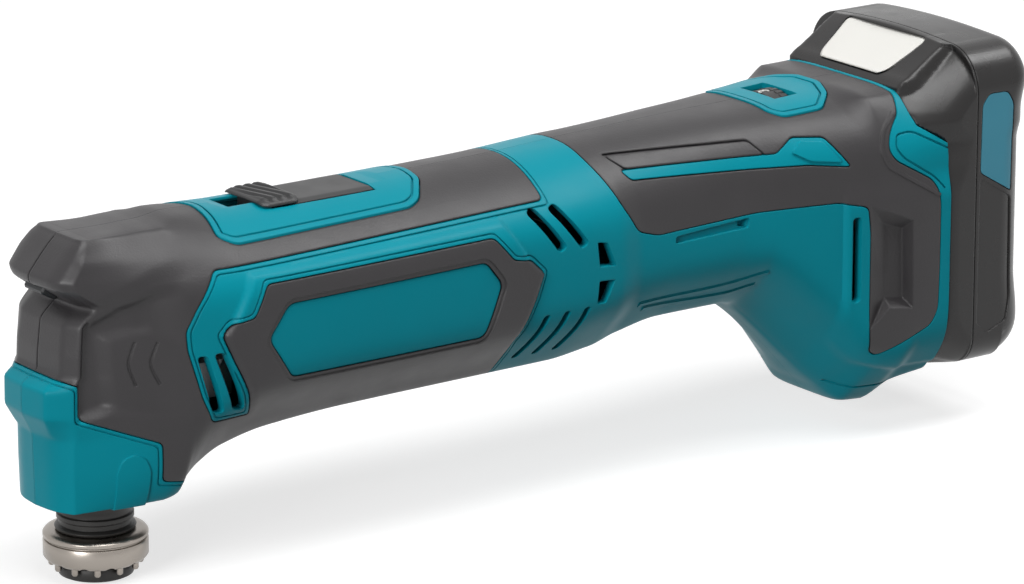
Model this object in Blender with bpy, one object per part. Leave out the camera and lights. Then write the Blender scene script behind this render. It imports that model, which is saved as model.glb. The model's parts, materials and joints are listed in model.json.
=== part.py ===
"""Cordless oscillating multi tool, built from its separate pieces in metres with +Z up.

Shapes are drawn in tool coordinates: the spindle axis is X = Y = 0, the accessory seat is Z = 0,
+X runs to the rear and the left side is -Y. FRAME_SHIFT then moves the whole tool so that the
origin lies under the middle of its length, at the height of its lowest face.
"""

import math

import bmesh
import bpy
import numpy as np
from mathutils import Matrix, Vector

# Fits and walls
FIT_GAP = 0.0003
WALL = 0.0025
GRIP_DEPTH = 0.0012
PLATE_RECESS = 0.0004
RIB_OVERLAP = 0.0006
ROUND_STEPS = 24
FINE_STEPS = 12
FLAT_ANGLE = math.radians(0.4)
CORNER_SOFTNESS = 0.0022

# Motor, rotor and spindle drive
MOTOR_AXIS_Z = 0.0530
MOTOR_RADIUS = 0.0170
MOTOR_WALL = 0.0018
MOTOR_RIB_PLACE = 0.0030
MAGNET_FRONT_SPACE = 0.0060
MAGNET_REAR_SPACE = 0.0080
CORE_SHORTER = 0.0040
CAP_DEPTH = 0.0050
CAP_FLANGE = 0.0040
FAN_SPACE = 0.0020
MOTOR_FRONT_X = 0.0315
MOTOR_LENGTH = 0.0565
MAGNET_THICKNESS = 0.0020
MAGNET_HALF_ANGLE = math.radians(62)
ROTOR_AIR_GAP = 0.0007
SHAFT_RADIUS = 0.0025
SHAFT_BEARING_RADIUS = 0.0080
SHAFT_BEARING_WIDTH = 0.0040
FAN_RADIUS = 0.0180
FAN_WIDTH = 0.0085
FAN_BLADES = 9
ECCENTRICITY = 0.0006
ECCENTRIC_RADIUS = 0.0032
ECCENTRIC_BEARING_RADIUS = 0.0065
ECCENTRIC_BEARING_WIDTH = 0.0070
ECCENTRIC_X = 0.0190
FORK_PLAY = 0.0016
FORK_THICKNESS = 0.0034
FORK_HEIGHT = 0.0100
ARM_HUB_RADIUS = 0.0090
SPINDLE_RADIUS = 0.0060
SPINDLE_BEARING_WIDTH = 0.0080
LOWER_BEARING_RADIUS = 0.0108
UPPER_BEARING_RADIUS = 0.0095
GEAR_CASE_RADIUS = 0.0134
GEAR_CASE_BOTTOM = 0.0182
GEAR_CASE_TOP = 0.0452
LOWER_BEARING_RISE = 0.0020
GEAR_SHELF_BOTTOM = 0.0362
GEAR_SHELF_HALF_WIDTH = 0.0115
GEAR_PLATE_HALF_WIDTH = 0.0150
GEAR_PLATE_THICKNESS = 0.0042

# Tool holder
FLANGE_RADIUS = 0.01205
FLANGE_HEIGHT = 0.0046
FLANGE_STEP_RADIUS = 0.0105
FLANGE_STEP_HEIGHT = 0.0024
COLLAR_RADIUS = 0.0086
SEAT_PIN_COUNT = 12
SEAT_PIN_RADIUS = 0.0010
SEAT_PIN_CIRCLE = 0.0101
SEAT_PIN_LENGTH = 0.0022
BOLT_HEAD_RADIUS = 0.00865
BOLT_HEAD_HEIGHT = 0.0036
BOLT_SHANK_RADIUS = 0.0034
BOLT_SHANK_LENGTH = 0.0140
HEX_KEY = 0.0050
HEX_DEPTH = 0.0024
SEAL_RADIUS = 0.0125

# Body outline, seen from the side and from above
TOP_SPACE = 0.0060
BELLY_SPACE = 0.0072
SIDE_SPACE = 0.0092
SHOULDER_RISE = 0.0125
LOWER_DROP = 0.0110
TOP_FLAT = 0.0130
BELLY_FLAT = 0.0130
HEAD_BOTTOM = 0.0153
HEAD_HALF_WIDTH = 0.0188
HEAD_FLAT = 0.0160
GRIP_HALF_WIDTH = 0.0236
GRIP_BELLY = 0.0339
FOOT_BOTTOM = 0.0018
FOOT_FLAT = 0.0112
REAR_FACE_X = 0.2260
REAR_HALF_WIDTH = 0.0315
REAR_RISE = 0.0066
REAR_BOTTOM = 0.0105
HOOD_TOP = 0.0779
HOOD_TIP_X = -0.0175
HOOD_TIP_Z = 0.0692
NOTCH_X = -0.0092
NOTCH_Z = 0.0628
NOSE_X = -0.0134
LIP_Z = 0.0464
BLOCK_X = -0.0181
HEAD_FRONT_X = -0.0164

# Switch, dial and their plates
SWITCH_SLOT = (0.0352, 0.0740)
SWITCH_SLOT_HALF_WIDTH = 0.0084
SWITCH_PLATE_X = (0.0416, 0.0716)
SWITCH_KNOB_X = (0.0420, 0.0556)
SWITCH_KNOB_RISE = 0.0024
SWITCH_RIBS = 5
SWITCH_SINK = 0.0007
SWITCH_PLATE_THICKNESS = 0.0025
SWITCH_ROD_HALF_WIDTH = 0.0040
SWITCH_ROD_THICKNESS = 0.0012
SWITCH_ROD_START = 0.0060
SWITCH_BODY_LENGTH = 0.0220
SWITCH_BODY_HALF_WIDTH = 0.0080
SWITCH_BODY_HEIGHT = 0.0142
SWITCH_RIB_X = 0.1225
RIB_THICKNESS = 0.0026
MODULE_LENGTH = 0.0360
MODULE_HALF_WIDTH = 0.0130
MODULE_BOTTOM_DROP = 0.0060
MODULE_HEIGHT = 0.0115
MODULE_CORNER = 0.0008
DIAL_X = 0.1940
DIAL_THICKNESS = 0.0060
DIAL_RADIUS = 0.0119
DIAL_PROUD = 0.0009
DIAL_TEETH = 24
DIAL_AXLE_RADIUS = 0.0020
DIAL_WINDOW_HALF_WIDTH = 0.0073
DIAL_TOOTH_DEPTH = 0.0006
DIAL_AXLE_END = 0.0020
DIAL_RIB_SPACE = 0.0009

# Battery and its rail
BATTERY_DEPTH = 0.0268
BATTERY_SEAM_DEPTH = 0.0080
BATTERY_SIDE_WALL = 0.00255
BATTERY_SIDE_ROOM = 0.0008
BATTERY_BOTTOM = 0.0110
BATTERY_RISE = 0.0097
BATTERY_CROWN = 0.0012
BATTERY_CORNER = 0.0085
BATTERY_WALL = 0.0018
BATTERY_OVERHANG = 0.0062
BATTERY_SLOPE_RUN = 0.0105
CELL_RADIUS = 0.00915
CELL_LENGTH = 0.0650
CELL_PITCH = 0.0195
RAIL_NECK_HALF_WIDTH = 0.0120
RAIL_HEAD_HALF_WIDTH = 0.0160
RAIL_NECK_DEPTH = 0.0021
RAIL_HEAD_DEPTH = 0.0026
RAIL_BOTTOM = 0.0260
RAIL_TOP = 0.0760
RAIL_FLANGE = 0.0026
TERMINAL_THICKNESS = 0.0008
TERMINAL_HEIGHT = 0.0140
TERMINAL_BOTTOM = 0.0340
TERMINAL_INSIDE = 0.0060
TERMINAL_REACH = 0.0055
CLIP_GAP = 0.0006
CLIP_SHEET = 0.0006
CLIP_BRIDGE = 0.0027
BOARD_MARGIN = 0.0010
BOARD_THICKNESS = 0.0016
BUTTON_HALF_WIDTH = 0.0135
BUTTON_HEIGHT = 0.0062
BUTTON_RISE = 0.0014
BUTTON_PROUD = 0.0009
BUTTON_THICKNESS = 0.0032
BUTTON_TRAVEL = 0.0020

# Housing screws, entered from the right side
SCREW_PLACES = (
    (0.0040, 0.0690),
    (0.0240, 0.0310),
    (0.1140, 0.0660),
    (0.1140, 0.0370),
    (0.1530, 0.0412),
    (0.1760, 0.0645),
    (0.2060, 0.0140),
    (0.2110, 0.0640),
)
SCREW_BOSS_RADIUS = 0.0042
SCREW_HEAD_RADIUS = 0.0027
SCREW_HEAD_HEIGHT = 0.0022
SCREW_SHANK_RADIUS = 0.0013
SCREW_REACH = 0.0070

# Sizes that follow from the ones above
BODY_TOP = MOTOR_AXIS_Z + MOTOR_RADIUS + TOP_SPACE
REAR_TOP = BODY_TOP + REAR_RISE
BATTERY_TOP = REAR_TOP + BATTERY_RISE
BATTERY_REAR_X = REAR_FACE_X + BATTERY_DEPTH
BATTERY_SEAM_X = REAR_FACE_X + BATTERY_SEAM_DEPTH
BATTERY_HALF_WIDTH = CELL_PITCH + CELL_RADIUS + BATTERY_SIDE_ROOM + BATTERY_SIDE_WALL
BELLY = MOTOR_AXIS_Z - MOTOR_RADIUS - BELLY_SPACE
MOTOR_HALF_WIDTH = MOTOR_RADIUS + SIDE_SPACE
SHOULDER = MOTOR_AXIS_Z + SHOULDER_RISE
LOWER_EDGE = MOTOR_AXIS_Z - LOWER_DROP
BOLT_BOTTOM = -FIT_GAP - BOLT_HEAD_HEIGHT
MOTOR_REAR_X = MOTOR_FRONT_X + MOTOR_LENGTH
DIAL_RIB_X = DIAL_X - DIAL_THICKNESS / 2 - DIAL_RIB_SPACE - RIB_THICKNESS
FRAME_SHIFT = Vector((-(BLOCK_X + BATTERY_REAR_X) / 2, 0.0, -BOLT_BOTTOM))

# One row per level of the nose: height, middle X, flat half width, its X, edge half width, its X
FRONT_PROFILE = (
    (HOOD_TOP, HOOD_TIP_X + 0.0080, 0.0080, HOOD_TIP_X + 0.0081, 0.0120, HOOD_TIP_X + 0.0085),
    (HOOD_TIP_Z, HOOD_TIP_X, 0.0080, HOOD_TIP_X + 0.0005, 0.0118, HOOD_TIP_X + 0.0022),
    (HOOD_TIP_Z - 0.0020, HOOD_TIP_X + 0.0007, 0.0080, HOOD_TIP_X + 0.0013, 0.0120, HOOD_TIP_X + 0.0033),
    (NOTCH_Z, NOTCH_X, 0.0090, NOTCH_X + 0.0003, 0.0135, NOTCH_X + 0.0022),
    (NOTCH_Z - 0.0038, NOSE_X, 0.0090, NOSE_X + 0.0003, 0.0130, NOSE_X + 0.0024),
    (LIP_Z + 0.0002, NOSE_X - 0.0011, 0.0095, NOSE_X - 0.0008, 0.0131, NOSE_X + 0.0016),
    (LIP_Z - 0.0002, NOSE_X - 0.0022, 0.0080, NOSE_X - 0.0018, 0.0130, NOSE_X + 0.0008),
    (LIP_Z - 0.0042, BLOCK_X, 0.0090, BLOCK_X + 0.0007, 0.0130, BLOCK_X + 0.0053),
    (LIP_Z - 0.0100, BLOCK_X + 0.0001, 0.0092, BLOCK_X + 0.0009, 0.0128, BLOCK_X + 0.0053),
    (LIP_Z - 0.0139, HEAD_FRONT_X - 0.0002, 0.0080, HEAD_FRONT_X + 0.0005, 0.0125, HEAD_FRONT_X + 0.0038),
    (HEAD_BOTTOM, HEAD_FRONT_X + 0.0002, 0.0080, HEAD_FRONT_X + 0.0012, 0.0118, HEAD_FRONT_X + 0.0041),
)

# One row per section: X, top, bottom, half width, top flat, shoulder, lower edge, bottom flat
BODY_SECTIONS = (
    (0.0020, BODY_TOP + 0.0016, HEAD_BOTTOM, HEAD_HALF_WIDTH, TOP_FLAT, SHOULDER + 0.0015,
     HEAD_BOTTOM + 0.0047, HEAD_FLAT),
    (0.0080, BODY_TOP + 0.0014, HEAD_BOTTOM + 0.0003, HEAD_HALF_WIDTH + 0.0018, TOP_FLAT, SHOULDER + 0.0010,
     HEAD_BOTTOM + 0.0077, HEAD_FLAT - 0.0010),
    (0.0140, BODY_TOP + 0.0012, HEAD_BOTTOM + 0.0032, HEAD_HALF_WIDTH + 0.0036, TOP_FLAT, SHOULDER + 0.0005,
     LOWER_EDGE - 0.0110, BELLY_FLAT + 0.0005),
    (0.0190, BODY_TOP + 0.0011, BELLY - 0.0063, MOTOR_HALF_WIDTH - 0.0025, TOP_FLAT, SHOULDER + 0.0005,
     LOWER_EDGE - 0.0060, BELLY_FLAT),
    (0.0260, BODY_TOP + 0.0009, BELLY - 0.0032, MOTOR_HALF_WIDTH - 0.0010, TOP_FLAT, SHOULDER + 0.0002,
     LOWER_EDGE - 0.0025, BELLY_FLAT),
    (0.0380, BODY_TOP + 0.0005, BELLY - 0.0010, MOTOR_HALF_WIDTH - 0.0002, TOP_FLAT, SHOULDER,
     LOWER_EDGE - 0.0005, BELLY_FLAT),
    (0.0600, BODY_TOP + 0.0001, BELLY, MOTOR_HALF_WIDTH, TOP_FLAT, SHOULDER, LOWER_EDGE, BELLY_FLAT),
    (0.1180, BODY_TOP, BELLY + 0.0003, MOTOR_HALF_WIDTH - 0.0005, TOP_FLAT, SHOULDER, LOWER_EDGE,
    BELLY_FLAT),
    (0.1280, BODY_TOP + 0.0006, BELLY + 0.0010, GRIP_HALF_WIDTH + 0.0012, TOP_FLAT - 0.0010,
     SHOULDER - 0.0005,
     LOWER_EDGE + 0.0010, BELLY_FLAT - 0.0010),
    (0.1370, BODY_TOP + 0.0010, GRIP_BELLY - 0.0021, GRIP_HALF_WIDTH + 0.0004, TOP_FLAT - 0.0010, SHOULDER,
     LOWER_EDGE + 0.0030, BELLY_FLAT - 0.0010),
    (0.1520, BODY_TOP + 0.0017, GRIP_BELLY, GRIP_HALF_WIDTH, TOP_FLAT - 0.0010, SHOULDER + 0.0005,
     LOWER_EDGE + 0.0040, BELLY_FLAT - 0.0015),
    (0.1680, BODY_TOP + 0.0026, GRIP_BELLY - 0.0001, GRIP_HALF_WIDTH + 0.0002, TOP_FLAT - 0.0010,
     SHOULDER + 0.0015, LOWER_EDGE + 0.0040, BELLY_FLAT - 0.0015),
    (0.1770, REAR_TOP - 0.0035, GRIP_BELLY - 0.0044, GRIP_HALF_WIDTH + 0.0011, TOP_FLAT - 0.0005,
     SHOULDER + 0.0020, LOWER_EDGE + 0.0010, FOOT_FLAT),
    (0.1870, REAR_TOP - 0.0028, FOOT_BOTTOM + 0.0187, GRIP_HALF_WIDTH + 0.0025, TOP_FLAT + 0.0005,
     SHOULDER + 0.0025, FOOT_BOTTOM + 0.0342, FOOT_FLAT),
    (0.1970, REAR_TOP - 0.0019, FOOT_BOTTOM + 0.0092, REAR_HALF_WIDTH - 0.0038, TOP_FLAT + 0.0020,
     SHOULDER + 0.0035, FOOT_BOTTOM + 0.0262, FOOT_FLAT),
    (0.2050, REAR_TOP - 0.0012, FOOT_BOTTOM + 0.0027, REAR_HALF_WIDTH - 0.0025, TOP_FLAT + 0.0040,
     SHOULDER + 0.0045, FOOT_BOTTOM + 0.0192, FOOT_FLAT),
    (0.2090, REAR_TOP - 0.0008, FOOT_BOTTOM, REAR_HALF_WIDTH - 0.0017, TOP_FLAT + 0.0050,
     SHOULDER + 0.0050, FOOT_BOTTOM + 0.0172, FOOT_FLAT),
    (0.2160, REAR_TOP - 0.0005, FOOT_BOTTOM, REAR_HALF_WIDTH - 0.0009, TOP_FLAT + 0.0060,
     SHOULDER + 0.0055, FOOT_BOTTOM + 0.0172, FOOT_FLAT),
    (0.2195, REAR_TOP - 0.0003, REAR_BOTTOM - 0.0040, REAR_HALF_WIDTH - 0.0005, TOP_FLAT + 0.0070,
     SHOULDER + 0.0060, REAR_BOTTOM + 0.0115, FOOT_FLAT + 0.0038),
    (REAR_FACE_X, REAR_TOP, REAR_BOTTOM, REAR_HALF_WIDTH, TOP_FLAT + 0.0080,
     SHOULDER + 0.0065, REAR_BOTTOM + 0.0135, FOOT_FLAT + 0.0068),
)

# Side outlines, as X and Z
FRONT_GRIP_OUTLINE = (
    (-0.0300, LIP_Z), (NOSE_X + 0.0022, LIP_Z), (NOSE_X + 0.0022, LIP_Z - 0.0084), (0.0082, 0.0300),
    (0.0082, 0.0212), (0.0140, 0.0198), (0.0146, 0.0100), (0.1000, 0.0100), (0.1006, 0.0391),
    (0.1055, 0.0493), (0.1076, 0.0551), (0.1039, 0.0587), (0.0986, 0.0596), (0.0936, 0.0655),
    (0.0310, 0.0649), (0.0272, 0.0578), (0.0219, 0.0569), (0.0199, 0.0545), (0.0228, 0.0479),
    (0.0264, 0.0400), (0.0280, 0.0346), (0.0178, 0.0346), (0.0150, 0.0402), (0.0118, 0.0517),
    (0.0115, 0.0563), (0.0141, 0.0613), (0.0198, 0.0691), (0.1116, 0.0708), (0.1122, 0.0900),
    (-0.0300, 0.0900),
)
SIDE_PLATE_OUTLINE = (
    (0.0309, 0.0523), (0.0362, 0.0597), (0.0908, 0.0603), (0.0953, 0.0545), (0.0906, 0.0424),
    (0.0372, 0.0424),
)
REAR_GRIP_OUTLINE = (
    (0.1285, 0.0900), (0.1290, 0.0762), (0.1329, 0.0666), (0.1374, 0.0597), (0.1435, 0.0579),
    (0.1601, 0.0584),
    (0.1732, 0.0589), (0.1953, 0.0584), (0.2026, 0.0566), (0.2032, 0.0180), (0.2062, 0.0166),
    (0.2202, 0.0247),
    (0.2218, 0.0340), (0.2218, 0.0900),
)
INLAY_OUTLINE = (
    (0.1369, 0.0731), (0.1800, 0.0716), (0.1856, 0.0745), (0.1937, 0.0738), (0.1987, 0.0669),
    (0.1880, 0.0684),
    (0.1387, 0.0711),
)
VENT_OUTLINES = (
    ((0.0138, 0.0502), (0.0163, 0.0502), (0.0210, 0.0366), (0.0180, 0.0366)),
    ((0.0184, 0.0502), (0.0210, 0.0502), (0.0258, 0.0366), (0.0228, 0.0366)),
    ((0.1052, 0.0690), (0.1078, 0.0700), (0.1150, 0.0600), (0.1126, 0.0588)),
    ((0.1114, 0.0690), (0.1140, 0.0700), (0.1214, 0.0600), (0.1190, 0.0588)),
    ((0.1237, 0.0597), (0.1268, 0.0591), (0.1293, 0.0532), (0.1243, 0.0536)),
    ((0.1242, 0.0502), (0.1291, 0.0498), (0.1266, 0.0444), (0.1238, 0.0445)),
    ((0.1038, 0.0330), (0.1058, 0.0330), (0.1104, 0.0444), (0.1084, 0.0444)),
    ((0.1097, 0.0330), (0.1117, 0.0330), (0.1163, 0.0444), (0.1143, 0.0444)),
    ((0.1156, 0.0330), (0.1176, 0.0330), (0.1222, 0.0444), (0.1202, 0.0444)),
    ((0.1982, 0.0330), (0.2006, 0.0330), (0.2006, 0.0544), (0.1982, 0.0544)),
)

# Plan outlines, as X and Y
SWITCH_BEZEL_OUTLINE = (
    (0.0290, 0.0000), (0.0272, -0.0090), (0.0236, -0.0152), (0.0300, -0.0168), (0.0770, -0.0155),
    (0.0806, -0.0138),
    (0.0856, -0.0070), (0.0866, 0.0000), (0.0856, 0.0070), (0.0806, 0.0138), (0.0770, 0.0155),
    (0.0300, 0.0168),
    (0.0236, 0.0152), (0.0272, 0.0090),
)
DIAL_BEZEL_OUTLINE = (
    (0.1846, -0.0120), (0.1872, -0.0152), (0.1985, -0.0162), (0.2040, -0.0112), (0.2072, -0.0040),
    (0.2072, 0.0040),
    (0.2040, 0.0112), (0.1985, 0.0162), (0.1872, 0.0152), (0.1846, 0.0120),
)


def clear_scene():
    for item in list(bpy.data.objects):
        bpy.data.objects.remove(item, do_unlink=True)


def principled(name, colour, roughness, metallic=0.0):
    material = bpy.data.materials.new(name)
    material.use_nodes = True
    shader = material.node_tree.nodes["Principled BSDF"]
    shader.inputs["Base Color"].default_value = (*colour, 1.0)
    shader.inputs["Roughness"].default_value = roughness
    shader.inputs["Metallic"].default_value = metallic
    return material


class Solid:
    """Collects faces by their corner points, so that corners that meet are shared."""

    def __init__(self):
        self.mesh = bmesh.new()
        self.corners = {}

    def corner(self, point):
        key = tuple(round(value, 7) for value in point)
        if key not in self.corners:
            self.corners[key] = self.mesh.verts.new(point)
        return self.corners[key]

    def face(self, points):
        corners = []
        for point in points:
            corner = self.corner(point)
            if corner not in corners:
                corners.append(corner)
        if len(corners) > 2:
            self.mesh.faces.new(corners)

    def grid(self, rows, closed_rows=False, closed_columns=False):
        last_row = len(rows) if closed_rows else len(rows) - 1
        last_column = len(rows[0]) if closed_columns else len(rows[0]) - 1
        for i in range(last_row):
            one, two = rows[i], rows[(i + 1) % len(rows)]
            for j in range(last_column):
                k = (j + 1) % len(one)
                self.face((one[j], one[k], two[k]))
                self.face((one[j], two[k], two[j]))

    def made(self, name="cutter"):
        bmesh.ops.recalc_face_normals(self.mesh, faces=self.mesh.faces)
        data = bpy.data.meshes.new(name)
        self.mesh.to_mesh(data)
        self.mesh.free()
        item = bpy.data.objects.new(name, data)
        bpy.context.scene.collection.objects.link(item)
        return item


def combine(target, tool, operation):
    """Cuts, keeps or joins the target with the tool, and uses the tool up."""
    modifier = target.modifiers.new("shape", "BOOLEAN")
    modifier.operation = operation
    modifier.solver = "EXACT"
    modifier.object = tool
    graph = bpy.context.evaluated_depsgraph_get()
    data = bpy.data.meshes.new_from_object(target.evaluated_get(graph))
    target.modifiers.clear()
    target.data = data
    bpy.data.objects.remove(tool, do_unlink=True)
    return target


def cut(target, *tools):
    for tool in tools:
        combine(target, tool, "DIFFERENCE")
    return target


def keep(target, tool):
    return combine(target, tool, "INTERSECT")


def join(target, *tools):
    for tool in tools:
        combine(target, tool, "UNION")
    return target


def gathered(items):
    """Puts pieces that don't touch into one object, to cut or join them in one go."""
    mesh = bmesh.new()
    for item in items:
        mesh.from_mesh(item.data)
        bpy.data.objects.remove(item, do_unlink=True)
    data = bpy.data.meshes.new("cutter")
    mesh.to_mesh(data)
    mesh.free()
    item = bpy.data.objects.new("cutter", data)
    bpy.context.scene.collection.objects.link(item)
    return item


def copied(item, mirrored=False):
    mesh = bmesh.new()
    mesh.from_mesh(item.data)
    if mirrored:
        bmesh.ops.scale(mesh, vec=(1, -1, 1), verts=mesh.verts)
        bmesh.ops.reverse_faces(mesh, faces=mesh.faces)
    data = bpy.data.meshes.new("copy")
    mesh.to_mesh(data)
    mesh.free()
    twin = bpy.data.objects.new("copy", data)
    bpy.context.scene.collection.objects.link(twin)
    return twin


def merge_flat_faces(item):
    """Joins faces that lie in one plane, where that leaves every edge between two faces."""
    mesh = bmesh.new()
    mesh.from_mesh(item.data)
    bmesh.ops.dissolve_limit(mesh, angle_limit=FLAT_ANGLE, verts=mesh.verts, edges=mesh.edges)
    bmesh.ops.triangulate(mesh, faces=mesh.faces)
    if all(len(edge.link_faces) == 2 for edge in mesh.edges):
        mesh.to_mesh(item.data)
    mesh.free()


def node(item, name, material, pivot=(0.0, 0.0, 0.0)):
    """Names a finished piece, gives it its material and puts its origin on its pivot."""
    merge_flat_faces(item)
    item.name = name
    item.data.name = name
    item.data.transform(Matrix.Translation(-Vector(pivot)))
    item.location = Vector(pivot) + FRAME_SHIFT
    item.data.materials.clear()
    item.data.materials.append(material)
    item.data.shade_smooth()
    item.data.set_sharp_from_angle(angle=math.radians(32))
    return item


def prism(outline, along, low, high):
    """An outline drawn in X and Z (along Y), X and Y (along Z) or Y and Z (along X), made solid."""
    places = {
        "X": lambda a, b, level: (level, a, b),
        "Y": lambda a, b, level: (a, level, b),
        "Z": lambda a, b, level: (a, b, level),
    }
    place = places[along]
    solid = Solid()
    lower = [place(a, b, low) for a, b in outline]
    upper = [place(a, b, high) for a, b in outline]
    solid.face(lower)
    solid.face(upper)
    for i in range(len(outline)):
        k = (i + 1) % len(outline)
        solid.face((lower[i], lower[k], upper[k], upper[i]))
    return solid.made()


def box(low, high, bevel=0.0):
    outline = ((low[0], low[1]), (high[0], low[1]), (high[0], high[1]), (low[0], high[1]))
    item = prism(outline, "Z", low[2], high[2])
    if bevel:
        mesh = bmesh.new()
        mesh.from_mesh(item.data)
        bmesh.ops.bevel(mesh, geom=mesh.edges, offset=bevel, segments=1, affect="EDGES")
        mesh.to_mesh(item.data)
        mesh.free()
    return item


def turned(profile, along="Z", centre=(0.0, 0.0, 0.0), steps=ROUND_STEPS):
    """A closed profile of radius and place along the axis, turned about that axis."""
    rings = []
    for step in range(steps):
        angle = math.tau * step / steps
        ring = []
        for radius, place in profile:
            a, b = radius * math.cos(angle), radius * math.sin(angle)
            point = {"X": (place, a, b), "Y": (a, place, b), "Z": (a, b, place)}[along]
            ring.append(tuple(centre[i] + point[i] for i in range(3)))
        rings.append(ring)
    solid = Solid()
    for step in range(steps):
        one, two = rings[step], rings[(step + 1) % steps]
        for j in range(len(profile)):
            k = (j + 1) % len(profile)
            solid.face((one[j], one[k], two[k], two[j]))
    return solid.made()


def rod(radius, low, high, along="Z", centre=(0.0, 0.0, 0.0), steps=ROUND_STEPS):
    return turned(((0.0, low), (radius, low), (radius, high), (0.0, high)), along, centre, steps)


def ring(inner, outer, low, high, along="Z", centre=(0.0, 0.0, 0.0), steps=ROUND_STEPS):
    return turned(((inner, low), (outer, low), (outer, high), (inner, high)), along, centre, steps)


def grown(outline, distance):
    """The outline moved outwards by a distance, or inwards where it is negative."""
    points = [Vector(point) for point in outline]
    area = sum(points[i - 1].cross(points[i]) for i in range(len(points)))
    turn = 1.0 if area > 0 else -1.0
    moved = []
    for i, point in enumerate(points):
        before = (point - points[i - 1]).normalized()
        after = (points[(i + 1) % len(points)] - point).normalized()
        normal_before = Vector((before.y, -before.x)) * turn
        normal_after = Vector((after.y, -after.x)) * turn
        middle = (normal_before + normal_after).normalized()
        moved.append(point + middle * (distance / max(middle.dot(normal_after), 0.35)))
    return [tuple(point) for point in moved]


def section_at(x, inset):
    """The body's section sizes at X, blended smoothly between the listed sections."""
    rows = np.array(BODY_SECTIONS)
    places, sizes = rows[:, 0], rows[:, 1:]
    i = int(np.clip(np.searchsorted(places, x) - 1, 0, len(places) - 2))
    steps = np.diff(places)[:, None]
    slopes = np.diff(sizes, axis=0) / steps
    tangents = np.vstack([slopes[:1], np.zeros_like(slopes[1:]), slopes[-1:]])
    product = slopes[:-1] * slopes[1:]
    total = np.where(product > 0, slopes[:-1] + slopes[1:], 1.0)
    tangents[1:-1] = np.where(product > 0, 2 * product / total, 0.0)
    step = float(steps[i, 0])
    t = (x - places[i]) / step
    size = (
        (1 + 2 * t) * (1 - t) ** 2 * sizes[i]
        + t * (1 - t) ** 2 * step * tangents[i]
        + t * t * (3 - 2 * t) * sizes[i + 1]
        + t * t * (t - 1) * step * tangents[i + 1]
    )
    top, bottom, half_width, top_flat, shoulder, lower, bottom_flat = size
    flat_inset = 0.4 * inset
    return (
        top - inset, bottom + inset, half_width - inset, top_flat - flat_inset, shoulder, lower,
        bottom_flat - flat_inset,
    )


def side_width(z, sizes):
    """Half width of a section at a height: the side, shoulder and lower faces with a soft corner."""
    top, bottom, half_width, top_flat, shoulder, lower, bottom_flat = sizes
    faces = (
        half_width,
        top_flat + (half_width - top_flat) * (top - z) / (top - shoulder),
        bottom_flat + (half_width - bottom_flat) * (z - bottom) / (lower - bottom),
    )
    least = min(faces)
    total = sum(math.exp((least - face) / CORNER_SOFTNESS) for face in faces)
    return least - CORNER_SOFTNESS * math.log(total)


def body(inset=0.0, middle=0.0, rear=REAR_FACE_X, whole=False):
    """The body's left half up to the middle plane, or the whole body, drawn in by an inset."""
    top, bottom = FRONT_PROFILE[0][0], FRONT_PROFILE[-1][0]
    levels = [min(max(row[0], bottom + inset), top - inset) for row in FRONT_PROFILE]
    levels[0], levels[-1] = top - inset, bottom + inset
    share = [(top - row[0]) / (top - bottom) for row in FRONT_PROFILE]
    centre = [(row[1] + inset, middle, z) for row, z in zip(FRONT_PROFILE, levels)]
    flat = [(row[3] + inset, -row[2], z) for row, z in zip(FRONT_PROFILE, levels)]
    edge = [(row[5] + inset, -(row[4] - inset), z) for row, z in zip(FRONT_PROFILE, levels)]
    rows = [[centre[0], flat[0], *edge, flat[-1], centre[-1]]]
    places = [row[0] for row in BODY_SECTIONS if row[0] < rear - 0.0005] + [rear]
    for x in places:
        outer = section_at(x, 0.0)
        sizes = section_at(x, inset)
        heights = [min(max(outer[0] + (outer[1] - outer[0]) * part, sizes[1]), sizes[0]) for part in share]
        sides = [(x, -side_width(z, sizes), z) for z in heights]
        top_middle = (x, -0.6 * sizes[3], sizes[0])
        bottom_middle = (x, -0.6 * sizes[6], sizes[1])
        rows.append([(x, middle, sizes[0]), top_middle, *sides, bottom_middle, (x, middle, sizes[1])])
    solid = Solid()
    sheets = [(rows, [centre, flat, edge])]
    if whole:
        sheets.append(tuple([[(x, -y, z) for x, y, z in row] for row in sheet] for sheet in sheets[0]))
    for sheet in sheets:
        solid.grid(sheet[0])
        solid.grid(sheet[1])
        solid.face(sheet[0][-1])
    if not whole:
        solid.face(centre + [row[-1] for row in rows[1:]] + [row[0] for row in reversed(rows[1:])])
    return solid.made()


def skin(outline_tool, outer, inner, whole=False):
    """A piece of the body's skin between two depths, inside a tool made from an outline."""
    middle = 0.0 if whole else -FIT_GAP / 2
    piece = keep(body(outer, middle, whole=whole), outline_tool)
    behind = body(inner, 0.0 if whole else 0.001, REAR_FACE_X + 0.0005, whole)
    return cut(piece, behind)


def side_prism(outline, low=-0.05, high=0.05):
    return prism(outline, "Y", low, high)


def plan_prism(outline, low=0.05, high=0.10):
    return prism(outline, "Z", low, high)


def slot_outline(low, high, half_width):
    return ((low, -half_width), (high, -half_width), (high, half_width), (low, half_width))


def motor_line(profile, steps=ROUND_STEPS):
    return turned(profile, "X", (0.0, 0.0, MOTOR_AXIS_Z), steps)


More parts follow.
